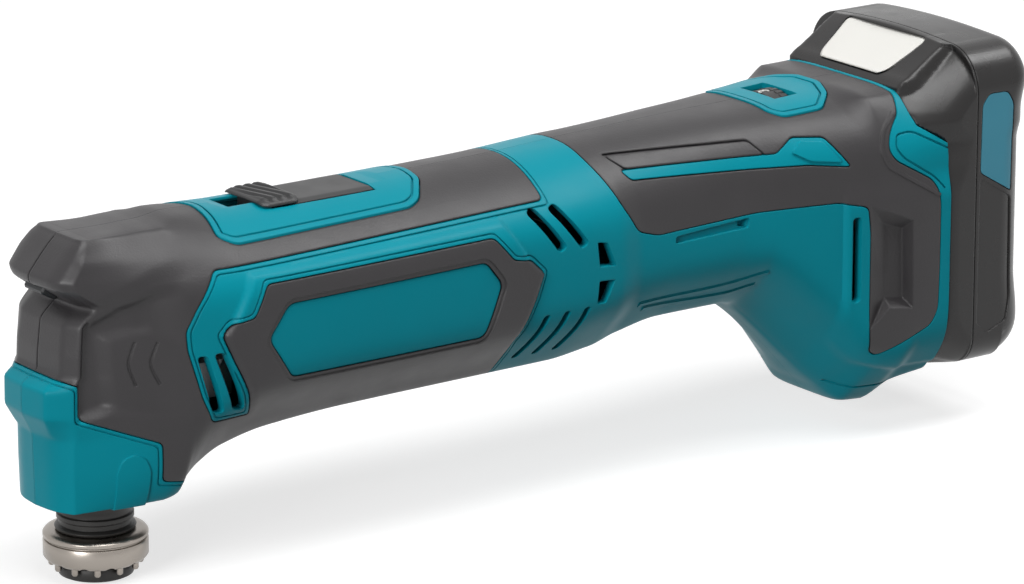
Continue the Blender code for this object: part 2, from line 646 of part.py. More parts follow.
def inner_structure():
    """Ribs that hold the motor, switch and dial, and the screw bosses, for the left half."""
    far = 0.05
    ribs = [
        MOTOR_FRONT_X + MOTOR_RIB_PLACE,
        MOTOR_REAR_X - MOTOR_RIB_PLACE - RIB_THICKNESS,
        SWITCH_RIB_X,
        DIAL_RIB_X,
    ]
    slabs = [box((x, -far, 0.0), (x + RIB_THICKNESS, -FIT_GAP / 2, 0.10)) for x in ribs]
    bosses = [
        rod(SCREW_BOSS_RADIUS, -far, -FIT_GAP / 2, "Y", (x, 0.0, z), FINE_STEPS) for x, z in SCREW_PLACES
    ]
    structure = keep(gathered(slabs + bosses), body(WALL - RIB_OVERLAP, 0.001))
    motor_space = motor_line((
        (0.0, MOTOR_FRONT_X), (MOTOR_RADIUS + FIT_GAP, MOTOR_FRONT_X),
        (MOTOR_RADIUS + FIT_GAP, MOTOR_REAR_X + 0.001), (0.0, MOTOR_REAR_X + 0.001),
    ))
    rod_space = box(
        (MOTOR_FRONT_X, -SWITCH_ROD_HALF_WIDTH - FIT_GAP, switch_rod_bottom() - FIT_GAP),
        (SWITCH_RIB_X + 0.004, 0.01, switch_rod_bottom() + SWITCH_ROD_THICKNESS + FIT_GAP),
    )
    wire_space = box((SWITCH_RIB_X - 0.001, -0.0140, 0.0420), (SWITCH_RIB_X + 0.004, 0.01, 0.0580))
    module_space = box((DIAL_RIB_X - 0.001, -0.0120, 0.0300), (DIAL_RIB_X + 0.004, 0.01, 0.0560))
    axle = (0.0, 0.0, dial_height())
    axle_space = rod(
        DIAL_AXLE_RADIUS + FIT_GAP, DIAL_RIB_X - 0.001, DIAL_RIB_X + 0.004, "X", axle, FINE_STEPS
    )
    return cut(structure, motor_space, rod_space, wire_space, module_space, axle_space)


def switch_top():
    return section_at(sum(SWITCH_PLATE_X) / 2, 0.0)[0] - SWITCH_SINK


def switch_rod_bottom():
    return switch_top() - SWITCH_PLATE_THICKNESS - FIT_GAP - SWITCH_ROD_THICKNESS


def dial_height():
    return section_at(DIAL_X, 0.0)[0] + DIAL_PROUD - DIAL_RADIUS


def housing_half():
    """The left clamshell half, before its screw holes."""
    shell = body(0.0, -FIT_GAP / 2)
    cut(shell, body(WALL, 0.001, REAR_FACE_X - WALL))
    join(shell, inner_structure())
    for outline in (FRONT_GRIP_OUTLINE, REAR_GRIP_OUTLINE):
        pocket = keep(body(-0.002, 0.001, REAR_FACE_X + 0.001), side_prism(grown(outline, FIT_GAP)))
        cut(pocket, body(GRIP_DEPTH + FIT_GAP, 0.002, REAR_FACE_X + 0.002))
        cut(shell, pocket)
    cut(shell, gathered([side_prism(outline, -0.05, -0.0125) for outline in VENT_OUTLINES]))
    slot = slot_outline(*SWITCH_SLOT, SWITCH_SLOT_HALF_WIDTH + FIT_GAP)
    cut(shell, plan_prism(slot, switch_rod_bottom()))
    window = dial_window(DIAL_WINDOW_HALF_WIDTH + 0.0023)
    cut(shell, plan_prism(window, MOTOR_AXIS_Z + 0.016))
    cut(shell, rod(SEAL_RADIUS + FIT_GAP, 0.0, HEAD_BOTTOM + WALL + 0.0006, steps=ROUND_STEPS))
    cut(shell, rail_opening(), lens_solid(FIT_GAP))
    return shell


def dial_window(half_width):
    half = DIAL_THICKNESS / 2 + FIT_GAP
    return slot_outline(DIAL_X - half, DIAL_X + half, half_width)


def rail_opening():
    return box(
        (REAR_FACE_X - 2 * WALL, -RAIL_NECK_HALF_WIDTH - FIT_GAP, RAIL_BOTTOM - FIT_GAP),
        (REAR_FACE_X + 0.001, RAIL_NECK_HALF_WIDTH + FIT_GAP, RAIL_TOP + FIT_GAP),
    )


def lens_solid(margin=0.0):
    """The work light's lens, square to the underside of the hood."""
    low = Vector((NOTCH_X, 0.0, NOTCH_Z))
    tip = Vector((HOOD_TIP_X + 0.0007, 0.0, HOOD_TIP_Z - 0.0020))
    middle = (low + tip) / 2
    slope = (tip - low).normalized()
    angle = math.atan2(slope.z, slope.x)
    half_length, half_width, depth = 0.0024 + margin, 0.0040 + margin, 0.0042
    item = box((-half_length, -half_width, -0.0006), (half_length, half_width, depth + margin), 0.0005)
    turn = Matrix.Rotation(-angle, 4, "Y") @ Matrix.Rotation(math.pi, 4, "X")
    item.data.transform(Matrix.Translation(middle) @ turn)
    return item


def screw_wells():
    """Counterbores and clearance holes through the right half."""
    wells = []
    for x, z in SCREW_PLACES:
        profile = (
            (0.0, -0.001), (SCREW_SHANK_RADIUS + FIT_GAP, -0.001),
            (SCREW_SHANK_RADIUS + FIT_GAP, SCREW_REACH),
            (SCREW_HEAD_RADIUS + FIT_GAP, SCREW_REACH), (SCREW_HEAD_RADIUS + FIT_GAP, 0.05), (0.0, 0.05),
        )
        wells.append(turned(profile, "Y", (x, 0.0, z), FINE_STEPS))
    return gathered(wells)


def screw_pilots():
    return gathered([
        rod(SCREW_SHANK_RADIUS + FIT_GAP, -SCREW_REACH - FIT_GAP, 0.001, "Y", (x, 0.0, z), FINE_STEPS)
        for x, z in SCREW_PLACES
    ])


def make_housing(paint):
    left = housing_half()
    right = copied(left, mirrored=True)
    cut(left, screw_pilots())
    cut(right, screw_wells())
    node(left, "left_housing", paint["teal"])
    node(right, "right_housing", paint["teal"])
    for number, (x, z) in enumerate(SCREW_PLACES, 1):
        profile = (
            (0.0, -SCREW_REACH), (SCREW_SHANK_RADIUS, -SCREW_REACH),
            (SCREW_SHANK_RADIUS, SCREW_REACH + FIT_GAP),
            (SCREW_HEAD_RADIUS, SCREW_REACH + FIT_GAP),
            (SCREW_HEAD_RADIUS, SCREW_REACH + SCREW_HEAD_HEIGHT),
            (0.0, SCREW_REACH + SCREW_HEAD_HEIGHT),
        )
        screw = turned(profile, "Y", (x, 0.0, z), FINE_STEPS)
        node(screw, f"housing_screw_{number}", paint["dark_steel"])


def make_skin(paint):
    """Soft grips, plates and inlays of both sides, and the two bezels on top."""
    front = skin(side_prism(FRONT_GRIP_OUTLINE), 0.0, GRIP_DEPTH)
    cut(front, side_prism(SIDE_PLATE_OUTLINE), plan_prism(grown(SWITCH_BEZEL_OUTLINE, FIT_GAP)))
    cut(front, lens_solid(FIT_GAP))
    plate = skin(side_prism(grown(SIDE_PLATE_OUTLINE, -FIT_GAP)), PLATE_RECESS, GRIP_DEPTH)
    rear = skin(side_prism(REAR_GRIP_OUTLINE), 0.0, GRIP_DEPTH)
    cut(rear, side_prism(INLAY_OUTLINE), plan_prism(grown(DIAL_BEZEL_OUTLINE, FIT_GAP)))
    inlay = skin(side_prism(grown(INLAY_OUTLINE, -FIT_GAP)), 0.0, GRIP_DEPTH)
    slot = slot_outline(*SWITCH_SLOT, SWITCH_SLOT_HALF_WIDTH)
    switch_bezel = skin(plan_prism(SWITCH_BEZEL_OUTLINE), 0.0, GRIP_DEPTH, whole=True)
    cut(switch_bezel, plan_prism(slot))
    dial_bezel = skin(plan_prism(DIAL_BEZEL_OUTLINE), 0.0, GRIP_DEPTH, whole=True)
    cut(dial_bezel, plan_prism(dial_window(DIAL_WINDOW_HALF_WIDTH)))
    for piece, name, colour in (
        (front, "front_grip", "rubber"), (plate, "side_plate", "teal"),
        (rear, "rear_grip", "rubber"), (inlay, "inlay", "teal"),
    ):
        twin = cut(copied(piece, mirrored=True), screw_wells())
        node(piece, f"left_{name}", paint[colour])
        node(twin, f"right_{name}", paint[colour])
    node(switch_bezel, "switch_bezel", paint["teal"])
    node(dial_bezel, "dial_bezel", paint["teal"])
    node(lens_solid(), "work_light_lens", paint["lens"])


def make_gear_head(paint):
    """Gear case, spindle with its bearings and arm, seal and tool holder."""
    plate_front = MOTOR_FRONT_X - FIT_GAP - GEAR_PLATE_THICKNESS
    case = rod(GEAR_CASE_RADIUS, GEAR_CASE_BOTTOM, GEAR_CASE_TOP)
    shelf = box(
        (0.0, -GEAR_SHELF_HALF_WIDTH, GEAR_SHELF_BOTTOM),
        (MOTOR_FRONT_X - FIT_GAP - 0.001, GEAR_SHELF_HALF_WIDTH, GEAR_CASE_TOP - 0.0004),
    )
    plate = motor_line((
        (0.0, plate_front), (GEAR_PLATE_HALF_WIDTH, plate_front),
        (GEAR_PLATE_HALF_WIDTH, MOTOR_FRONT_X - FIT_GAP), (0.0, MOTOR_FRONT_X - FIT_GAP),
    ))
    join(case, shelf, plate)
    lower_bottom = GEAR_CASE_BOTTOM + LOWER_BEARING_RISE
    lower_top = lower_bottom + SPINDLE_BEARING_WIDTH + FIT_GAP
    upper_bottom = GEAR_CASE_TOP - SPINDLE_BEARING_WIDTH - FIT_GAP
    bearing_bores = (
        rod(LOWER_BEARING_RADIUS + FIT_GAP, 0.0, lower_top),
        rod(UPPER_BEARING_RADIUS + FIT_GAP, upper_bottom, 0.1),
        rod(SPINDLE_RADIUS + 0.0010, 0.0, 0.1),
        motor_line((
            (0.0, 0.0), (SHAFT_BEARING_RADIUS + FIT_GAP, 0.0),
            (SHAFT_BEARING_RADIUS + FIT_GAP, 0.05), (0.0, 0.05),
        )),
    )
    keep(case, body(WALL + 2 * FIT_GAP, whole=True))
    node(cut(case, *bearing_bores), "gear_case", paint["aluminium"])
    inner = SPINDLE_RADIUS + FIT_GAP
    lower = ring(inner, LOWER_BEARING_RADIUS, lower_bottom, lower_bottom + SPINDLE_BEARING_WIDTH)
    upper = ring(inner, UPPER_BEARING_RADIUS, GEAR_CASE_TOP - SPINDLE_BEARING_WIDTH, GEAR_CASE_TOP)
    seal = ring(COLLAR_RADIUS + FIT_GAP, SEAL_RADIUS, HEAD_BOTTOM + 0.0004, GEAR_CASE_BOTTOM - FIT_GAP)
    node(lower, "spindle_lower_bearing", paint["steel"])
    node(upper, "spindle_upper_bearing", paint["steel"])
    node(seal, "dust_seal", paint["rubber"])

    arm_bottom = MOTOR_AXIS_Z - FORK_HEIGHT / 2
    arm_top = MOTOR_AXIS_Z + FORK_HEIGHT / 2
    spindle = turned((
        (0.0, BOLT_SHANK_LENGTH + 0.001), (BOLT_SHANK_RADIUS + FIT_GAP, BOLT_SHANK_LENGTH + 0.001),
        (BOLT_SHANK_RADIUS + FIT_GAP, FIT_GAP), (SPINDLE_RADIUS, FIT_GAP),
        (SPINDLE_RADIUS, arm_top + 0.0010),
        (SPINDLE_RADIUS - 0.0008, arm_top + 0.0018), (0.0, arm_top + 0.0018),
    ))
    node(spindle, "spindle", paint["steel"])

    prong_inner = ECCENTRIC_BEARING_RADIUS + FORK_PLAY
    prong_outer = prong_inner + FORK_THICKNESS
    fork_end = ECCENTRIC_X + ECCENTRIC_BEARING_WIDTH / 2 + 0.0012
    arm = rod(ARM_HUB_RADIUS, arm_bottom, arm_top)
    fork = prism((
        (0.0, -ARM_HUB_RADIUS + 0.001), (0.0060, -prong_outer), (fork_end, -prong_outer),
        (fork_end, -prong_inner),
        (0.0105, -prong_inner), (0.0105, prong_inner), (fork_end, prong_inner), (fork_end, prong_outer),
        (0.0060, prong_outer), (0.0, ARM_HUB_RADIUS - 0.001),
    ), "Z", arm_bottom + 0.0002, arm_top - 0.0002)
    join(arm, fork)
    cut(arm, rod(SPINDLE_RADIUS + FIT_GAP, 0.0, 0.1))
    node(arm, "swing_arm", paint["dark_steel"])

    flange = turned((
        (SPINDLE_RADIUS + FIT_GAP, 0.0), (FLANGE_RADIUS - 0.0006, 0.0), (FLANGE_RADIUS, 0.0006),
        (FLANGE_RADIUS, FLANGE_HEIGHT), (FLANGE_STEP_RADIUS, FLANGE_HEIGHT),
        (FLANGE_STEP_RADIUS, FLANGE_HEIGHT + FLANGE_STEP_HEIGHT),
        (SPINDLE_RADIUS + FIT_GAP, FLANGE_HEIGHT + FLANGE_STEP_HEIGHT),
    ))
    pins = []
    for number in range(SEAT_PIN_COUNT):
        angle = math.tau * number / SEAT_PIN_COUNT
        place = (SEAT_PIN_CIRCLE * math.cos(angle), SEAT_PIN_CIRCLE * math.sin(angle), 0.0)
        pins.append(rod(SEAT_PIN_RADIUS, -SEAT_PIN_LENGTH, 0.0010, "Z", place, 8))
    node(join(flange, gathered(pins)), "holder_flange", paint["nickel"])
    collar_bottom = FLANGE_HEIGHT + FLANGE_STEP_HEIGHT + FIT_GAP
    collar_top = lower_bottom - FIT_GAP
    groove = (collar_bottom + collar_top) / 2
    collar = turned((
        (SPINDLE_RADIUS + FIT_GAP, collar_bottom), (COLLAR_RADIUS, collar_bottom),
        (COLLAR_RADIUS, groove - 0.0012),
        (COLLAR_RADIUS - 0.0010, groove - 0.0008), (COLLAR_RADIUS - 0.0010, groove),
        (COLLAR_RADIUS, groove + 0.0004), (COLLAR_RADIUS, collar_top),
        (SPINDLE_RADIUS + FIT_GAP, collar_top),
    ))
    node(collar, "spindle_collar", paint["dark_steel"])
    bolt = turned((
        (0.0, BOLT_BOTTOM), (BOLT_HEAD_RADIUS - 0.0008, BOLT_BOTTOM),
        (BOLT_HEAD_RADIUS, BOLT_BOTTOM + 0.0008),
        (BOLT_HEAD_RADIUS, -FIT_GAP), (BOLT_SHANK_RADIUS, -FIT_GAP), (BOLT_SHANK_RADIUS, BOLT_SHANK_LENGTH),
        (0.0, BOLT_SHANK_LENGTH),
    ))
    corner = HEX_KEY / math.sqrt(3)
    hexagon = [(corner * math.cos(math.tau * i / 6), corner * math.sin(math.tau * i / 6)) for i in range(6)]
    cut(bolt, prism(hexagon, "Z", BOLT_BOTTOM - 0.001, BOLT_BOTTOM + HEX_DEPTH))
    node(bolt, "holder_bolt", paint["dark_steel"])


def make_motor(paint):
    """Motor can and magnets, and the rotor that turns in them, with its fan and eccentric."""
    pivot = (0.0, 0.0, MOTOR_AXIS_Z)
    inner = MOTOR_RADIUS - MOTOR_WALL
    can = motor_line((
        (SHAFT_BEARING_RADIUS, MOTOR_FRONT_X), (MOTOR_RADIUS, MOTOR_FRONT_X), (MOTOR_RADIUS, MOTOR_REAR_X),
        (inner, MOTOR_REAR_X), (inner, MOTOR_FRONT_X + MOTOR_WALL),
        (SHAFT_BEARING_RADIUS, MOTOR_FRONT_X + MOTOR_WALL),
    ))
    node(can, "motor_can", paint["steel"])
    magnet_outer = inner - FIT_GAP
    magnet_inner = magnet_outer - MAGNET_THICKNESS
    magnet_low, magnet_high = MOTOR_FRONT_X + MAGNET_FRONT_SPACE, MOTOR_REAR_X - MAGNET_REAR_SPACE
    for name, middle in (("upper", math.pi / 2), ("lower", -math.pi / 2)):
        outline = []
        for radius, sense in ((magnet_outer, 1), (magnet_inner, -1)):
            for step in range(9):
                angle = middle + sense * MAGNET_HALF_ANGLE * (step / 4 - 1)
                outline.append((radius * math.cos(angle), MOTOR_AXIS_Z + radius * math.sin(angle)))
        node(prism(outline, "X", magnet_low, magnet_high), f"motor_magnet_{name}", paint["ferrite"])
    bore = SHAFT_BEARING_RADIUS + FIT_GAP
    cap_low, cap_high = MOTOR_REAR_X - CAP_DEPTH, MOTOR_REAR_X + CAP_FLANGE
    cap = motor_line((
        (bore, cap_low), (inner - FIT_GAP, cap_low), (inner - FIT_GAP, MOTOR_REAR_X + FIT_GAP),
        (MOTOR_RADIUS, MOTOR_REAR_X + FIT_GAP), (MOTOR_RADIUS, cap_high), (bore, cap_high),
    ))
    node(cap, "motor_end_cap", paint["black_plastic"])
    hole = SHAFT_RADIUS + FIT_GAP
    front_high = MOTOR_FRONT_X - FIT_GAP - 0.0001
    for name, low in (("front", front_high - SHAFT_BEARING_WIDTH),
    ("rear", cap_high - SHAFT_BEARING_WIDTH)):
        bearing = motor_line((
            (hole, low), (SHAFT_BEARING_RADIUS, low), (SHAFT_BEARING_RADIUS, low + SHAFT_BEARING_WIDTH),
            (hole, low + SHAFT_BEARING_WIDTH),
        ))
        node(bearing, f"rotor_{name}_bearing", paint["steel"])

    shaft_end = cap_high + FAN_SPACE + FAN_WIDTH + 0.0010
    eccentric_half = ECCENTRIC_BEARING_WIDTH / 2
    shaft = motor_line((
        (0.0, ECCENTRIC_X + eccentric_half - 0.0002), (SHAFT_RADIUS, ECCENTRIC_X + eccentric_half - 0.0002),
        (SHAFT_RADIUS, shaft_end), (0.0, shaft_end),
    ))
    offset = (0.0, 0.0, MOTOR_AXIS_Z + ECCENTRICITY)
    ends = (ECCENTRIC_X - eccentric_half, ECCENTRIC_X + eccentric_half)
    join(shaft, rod(ECCENTRIC_RADIUS, *ends, "X", offset))
    node(shaft, "rotor_shaft", paint["steel"], pivot)
    bearing = ring(
        ECCENTRIC_RADIUS + FIT_GAP, ECCENTRIC_BEARING_RADIUS, ECCENTRIC_X - eccentric_half,
        ECCENTRIC_X + eccentric_half, "X", offset,
    )
    node(bearing, "eccentric_bearing", paint["steel"], pivot)
    core_radius = magnet_inner - ROTOR_AIR_GAP
    core_low, core_high = magnet_low + CORE_SHORTER, magnet_high - CORE_SHORTER
    core = motor_line((
        (hole, core_low - 0.0030), (core_radius - 0.0030, core_low - 0.0030),
        (core_radius - 0.0020, core_low),
        (core_radius, core_low), (core_radius, core_high), (core_radius - 0.0020, core_high),
        (core_radius - 0.0030, core_high + 0.0030), (hole, core_high + 0.0030),
    ))
    node(core, "rotor_core", paint["copper"], pivot)
    commutator = motor_line((
        (hole, core_high + 0.0033), (0.0055, core_high + 0.0033), (0.0055, cap_low - 0.0004),
        (hole, cap_low - 0.0004),
    ))
    node(commutator, "commutator", paint["copper"], pivot)
    fan_low = cap_high + FAN_SPACE
    hub = motor_line((
        (hole, fan_low), (FAN_RADIUS, fan_low), (FAN_RADIUS, fan_low + 0.0012), (0.0060, fan_low + 0.0014),
        (0.0050, fan_low + FAN_WIDTH), (hole, fan_low + FAN_WIDTH),
    ))
    blades = []
    for number in range(FAN_BLADES):
        blade = box((fan_low + 0.0008, 0.0052, -0.0005), (fan_low + FAN_WIDTH, FAN_RADIUS - 0.0006, 0.0005))
        turn = Matrix.Rotation(math.tau * number / FAN_BLADES, 4, "X")
        blade.data.transform(Matrix.Translation((0.0, 0.0, MOTOR_AXIS_Z)) @ turn)
        blades.append(blade)
    node(join(hub, gathered(blades)), "cooling_fan", paint["black_plastic"], pivot)


def make_controls(paint):
    """Slide switch with its rod, switch box, speed dial and control module."""
    top = switch_top()
    half_width = SWITCH_SLOT_HALF_WIDTH - FIT_GAP
    plate_bottom = top - SWITCH_PLATE_THICKNESS
    knob = box((SWITCH_PLATE_X[0], -half_width, plate_bottom), (SWITCH_PLATE_X[1], half_width, top))
    knob_top = top + SWITCH_SINK + SWITCH_KNOB_RISE
    inside = half_width - 0.0008
    low, high = SWITCH_KNOB_X
    pitch = (high - low) / (2 * SWITCH_RIBS + 1)
    outline = [(low, top - 0.001)]
    for number in range(SWITCH_RIBS + 1):
        start = low + 2 * number * pitch
        outline += [(start + 0.2 * pitch, knob_top), (start + 0.8 * pitch, knob_top)]
        if number < SWITCH_RIBS:
            outline += [(start + 1.2 * pitch, knob_top - 0.0011), (start + 1.8 * pitch, knob_top - 0.0011)]
    outline.append((high, top - 0.001))
    join(knob, prism(outline, "Y", -inside, inside))
    node(knob, "switch_knob", paint["black_plastic"])
    rod_low = switch_rod_bottom()
    rod_high = rod_low + SWITCH_ROD_THICKNESS
    switch_front = SWITCH_RIB_X + RIB_THICKNESS + FIT_GAP
    bar = box(
        (SWITCH_PLATE_X[0] + SWITCH_ROD_START, -SWITCH_ROD_HALF_WIDTH, rod_low),
        (switch_front - 0.0004, SWITCH_ROD_HALF_WIDTH, rod_high),
    )
    node(bar, "switch_rod", paint["black_plastic"])
    unit = box(
        (switch_front, -SWITCH_BODY_HALF_WIDTH, rod_high - SWITCH_BODY_HEIGHT),
        (switch_front + SWITCH_BODY_LENGTH, SWITCH_BODY_HALF_WIDTH, rod_high),
        MODULE_CORNER,
    )
    node(unit, "switch_unit", paint["black_plastic"])

    height = dial_height()
    half = DIAL_THICKNESS / 2
    outline = []
    for number in range(2 * DIAL_TEETH):
        radius = DIAL_RADIUS - (DIAL_TOOTH_DEPTH if number % 2 else 0.0)
        angle = math.tau * number / (2 * DIAL_TEETH)
        outline.append((radius * math.sin(angle), height + radius * math.cos(angle)))
    wheel = prism(outline, "X", DIAL_X - half, DIAL_X + half)
    axle_end = DIAL_X + half + DIAL_AXLE_END
    join(wheel, rod(DIAL_AXLE_RADIUS, DIAL_RIB_X, axle_end, "X", (0.0, 0.0, height), FINE_STEPS))
    node(wheel, "speed_dial", paint["black_plastic"], (0.0, 0.0, height))
    module_bottom = MOTOR_AXIS_Z - MODULE_BOTTOM_DROP
    module = box(
        (DIAL_RIB_X - MODULE_LENGTH, -MODULE_HALF_WIDTH, module_bottom),
        (DIAL_RIB_X - FIT_GAP, MODULE_HALF_WIDTH, module_bottom + MODULE_HEIGHT),
        MODULE_CORNER,
    )
    node(module, "control_module", paint["board"])


def battery_outline():
    """The battery seen from behind, with round corners and a slightly crowned top."""
    half, radius = BATTERY_HALF_WIDTH, BATTERY_CORNER
    low, high = BATTERY_BOTTOM, BATTERY_TOP - BATTERY_CROWN
    outline = []
    corners = (
        (half - radius, low + radius, -90), (half - radius, high - radius, 0),
        (radius - half, high - radius, 90), (radius - half, low + radius, 180),
    )
    for y, z, start in corners:
        for step in range(5):
            angle = math.radians(start + 22.5 * step)
            outline.append((y + radius * math.cos(angle), z + radius * math.sin(angle)))
        if start == 0:
            outline.append((0.0, BATTERY_TOP))
    return outline


def battery_slope():
    """Ends of the sloped face in front of the battery's top, as X and Z."""
    front = REAR_FACE_X + FIT_GAP - BATTERY_OVERHANG
    foot = REAR_TOP + 2 * FIT_GAP
    return Vector((front, foot)), Vector((front + BATTERY_SLOPE_RUN, BATTERY_TOP))


def battery_solid():
    front = REAR_FACE_X + FIT_GAP
    foot, crest = battery_slope()
    profile = (
        (front, BATTERY_BOTTOM - 0.001), (front, foot.y), tuple(foot), tuple(crest),
        (crest.x, BATTERY_TOP + 0.001),
        (BATTERY_REAR_X - 0.0040, BATTERY_TOP + 0.001), (BATTERY_REAR_X, BATTERY_TOP - 0.0040),
        (BATTERY_REAR_X, BATTERY_BOTTOM + 0.0030), (BATTERY_REAR_X - 0.0030, BATTERY_BOTTOM - 0.0005),
    )
    solid = prism(battery_outline(), "X", front - BATTERY_OVERHANG - 0.001, BATTERY_REAR_X + 0.001)
    return keep(solid, prism(profile, "Y", -0.05, 0.05))


def button_solid(margin, proud, depth):
    """The release button's outline, made solid between two sheets that follow the sloped face."""
    foot, crest = battery_slope()
    lean = (crest.x - foot.x) / (crest.y - foot.y)
    low = foot.y + BUTTON_RISE - margin
    high = foot.y + BUTTON_RISE + BUTTON_HEIGHT + margin
    half_width = BUTTON_HALF_WIDTH + margin
    corner = 0.0020
    outline = (
        (-half_width, low + corner), (-half_width + corner, low), (half_width - corner, low),
        (half_width, low + corner), (half_width, high - corner), (half_width - corner, high),
        (-half_width + corner, high), (-half_width, high - corner),
    )
    sheet = [(foot.x + lean * (z - foot.y), z) for z in (low - 0.001, high + 0.001)]
    band = [(x - proud, z) for x, z in sheet] + [(x + depth, z) for x, z in reversed(sheet)]
    reach = 2 * BUTTON_HALF_WIDTH
    slab = prism(outline, "X", foot.x - reach, crest.x + reach)
    return keep(slab, prism(band, "Y", -reach, reach))


def cell_middle_x():
    return BATTERY_REAR_X - BATTERY_WALL - CELL_RADIUS


def make_battery(paint):
    """Rail and terminals on the tool, and the battery that slides up off them."""
    neck_high = REAR_FACE_X + FIT_GAP + RAIL_NECK_DEPTH
    head_high = neck_high + RAIL_HEAD_DEPTH
    inside = REAR_FACE_X - WALL - FIT_GAP
    blade_y = CELL_PITCH / 2
    blade_top = TERMINAL_BOTTOM + TERMINAL_HEIGHT
    rail = prism((
        (inside - RAIL_FLANGE, -RAIL_HEAD_HALF_WIDTH), (inside, -RAIL_HEAD_HALF_WIDTH),
        (inside, -RAIL_NECK_HALF_WIDTH), (neck_high, -RAIL_NECK_HALF_WIDTH),
        (neck_high, -RAIL_HEAD_HALF_WIDTH),
        (head_high, -RAIL_HEAD_HALF_WIDTH), (head_high, RAIL_HEAD_HALF_WIDTH),
        (neck_high, RAIL_HEAD_HALF_WIDTH),
        (neck_high, RAIL_NECK_HALF_WIDTH), (inside, RAIL_NECK_HALF_WIDTH), (inside, RAIL_HEAD_HALF_WIDTH),
        (inside - RAIL_FLANGE, RAIL_HEAD_HALF_WIDTH),
    ), "Z", RAIL_BOTTOM, RAIL_TOP)
    blade_end = head_high + TERMINAL_REACH
    blade_half = TERMINAL_THICKNESS / 2
    for side in (-1, 1):
        y = side * blade_y
        cut(rail, box(
            (inside - 0.01, y - blade_half - FIT_GAP, TERMINAL_BOTTOM - FIT_GAP),
            (head_high + 0.001, y + blade_half + FIT_GAP, blade_top + FIT_GAP),
        ))
    node(rail, "battery_rail", paint["black_plastic"])

    solid = battery_solid()
    cavity_front = cell_middle_x() - CELL_RADIUS - FIT_GAP
    cavity_half = CELL_PITCH + CELL_RADIUS + BATTERY_SIDE_ROOM
    cell_bottom = BATTERY_BOTTOM + BATTERY_WALL + FIT_GAP
    cavity = box(
        (cavity_front, -cavity_half, BATTERY_BOTTOM + BATTERY_WALL),
        (BATTERY_REAR_X - BATTERY_WALL + FIT_GAP, cavity_half, cell_bottom + CELL_LENGTH + 0.0040),
    )
    margin = 2 * FIT_GAP
    below = BATTERY_BOTTOM - 0.01
    neck_slot = box(
        (REAR_FACE_X - 0.001, -RAIL_NECK_HALF_WIDTH - margin, below),
        (neck_high + 0.0005, RAIL_NECK_HALF_WIDTH + margin, RAIL_TOP + FIT_GAP),
    )
    head_slot = box(
        (neck_high - FIT_GAP, -RAIL_HEAD_HALF_WIDTH - margin, below),
        (head_high + FIT_GAP, RAIL_HEAD_HALF_WIDTH + margin, RAIL_TOP + FIT_GAP),
    )
    cut(solid, cavity, neck_slot, head_slot)
    for side in (-1, 1):
        y = side * blade_y
        reach = blade_half + CLIP_GAP + CLIP_SHEET + FIT_GAP
        cut(solid, box(
            (head_high - 0.001, y - reach, below),
            (blade_end + 0.0010, y + reach, blade_top + CLIP_BRIDGE + 0.0010),
        ))
    cut(solid, button_solid(FIT_GAP, 3 * BUTTON_THICKNESS, BUTTON_THICKNESS + BUTTON_TRAVEL + FIT_GAP))
    front = copied(solid)
    reach = 2 * BATTERY_HALF_WIDTH
    over = BATTERY_TOP + BATTERY_CORNER
    keep(front, box((BATTERY_SEAM_X - reach, -reach, -reach), (BATTERY_SEAM_X, reach, over)))
    keep(solid, box((BATTERY_SEAM_X + FIT_GAP, -reach, -reach), (BATTERY_REAR_X + reach, reach, over)))
    node(front, "battery_front_case", paint["battery"])
    node(solid, "battery_rear_case", paint["battery"])
    for number, step in enumerate((-1, 0, 1), 1):
        centre = (cell_middle_x(), step * CELL_PITCH, 0.0)
        cell = rod(CELL_RADIUS, cell_bottom, cell_bottom + CELL_LENGTH, "Z", centre, 24)
        node(cell, f"battery_cell_{number}", paint["cell"])
    board_low = cell_bottom + CELL_LENGTH + FIT_GAP
    board = box(
        (cavity_front + BOARD_MARGIN, -cavity_half + BOARD_MARGIN, board_low),
        (BATTERY_REAR_X - BATTERY_WALL - BOARD_MARGIN, cavity_half - BOARD_MARGIN,
        board_low + BOARD_THICKNESS),
    )
    node(board, "battery_board", paint["board"])
    for name, side in (("left", -1), ("right", 1)):
        y = side * blade_y
        blade = box(
            (inside - TERMINAL_INSIDE, y - blade_half, TERMINAL_BOTTOM),
            (blade_end, y + blade_half, blade_top)
        )
        node(blade, f"{name}_terminal", paint["copper"])
        inner = blade_half + CLIP_GAP
        outer = inner + CLIP_SHEET
        bridge_low, bridge_high = blade_top + FIT_GAP, blade_top + FIT_GAP + CLIP_BRIDGE
        clip = prism((
            (y - outer, TERMINAL_BOTTOM), (y - inner, TERMINAL_BOTTOM), (y - inner, bridge_low),
            (y + inner, bridge_low), (y + inner, TERMINAL_BOTTOM), (y + outer, TERMINAL_BOTTOM),
            (y + outer, bridge_high), (y - outer, bridge_high),
        ), "X", head_high + FIT_GAP, blade_end + 0.0005)
        node(clip, f"{name}_battery_clip", paint["copper"])
    button = button_solid(0.0, BUTTON_PROUD, BUTTON_THICKNESS)
    foot, crest = battery_slope()
    node(button, "release_button", paint["white_plastic"], (foot.x, 0.0, foot.y))


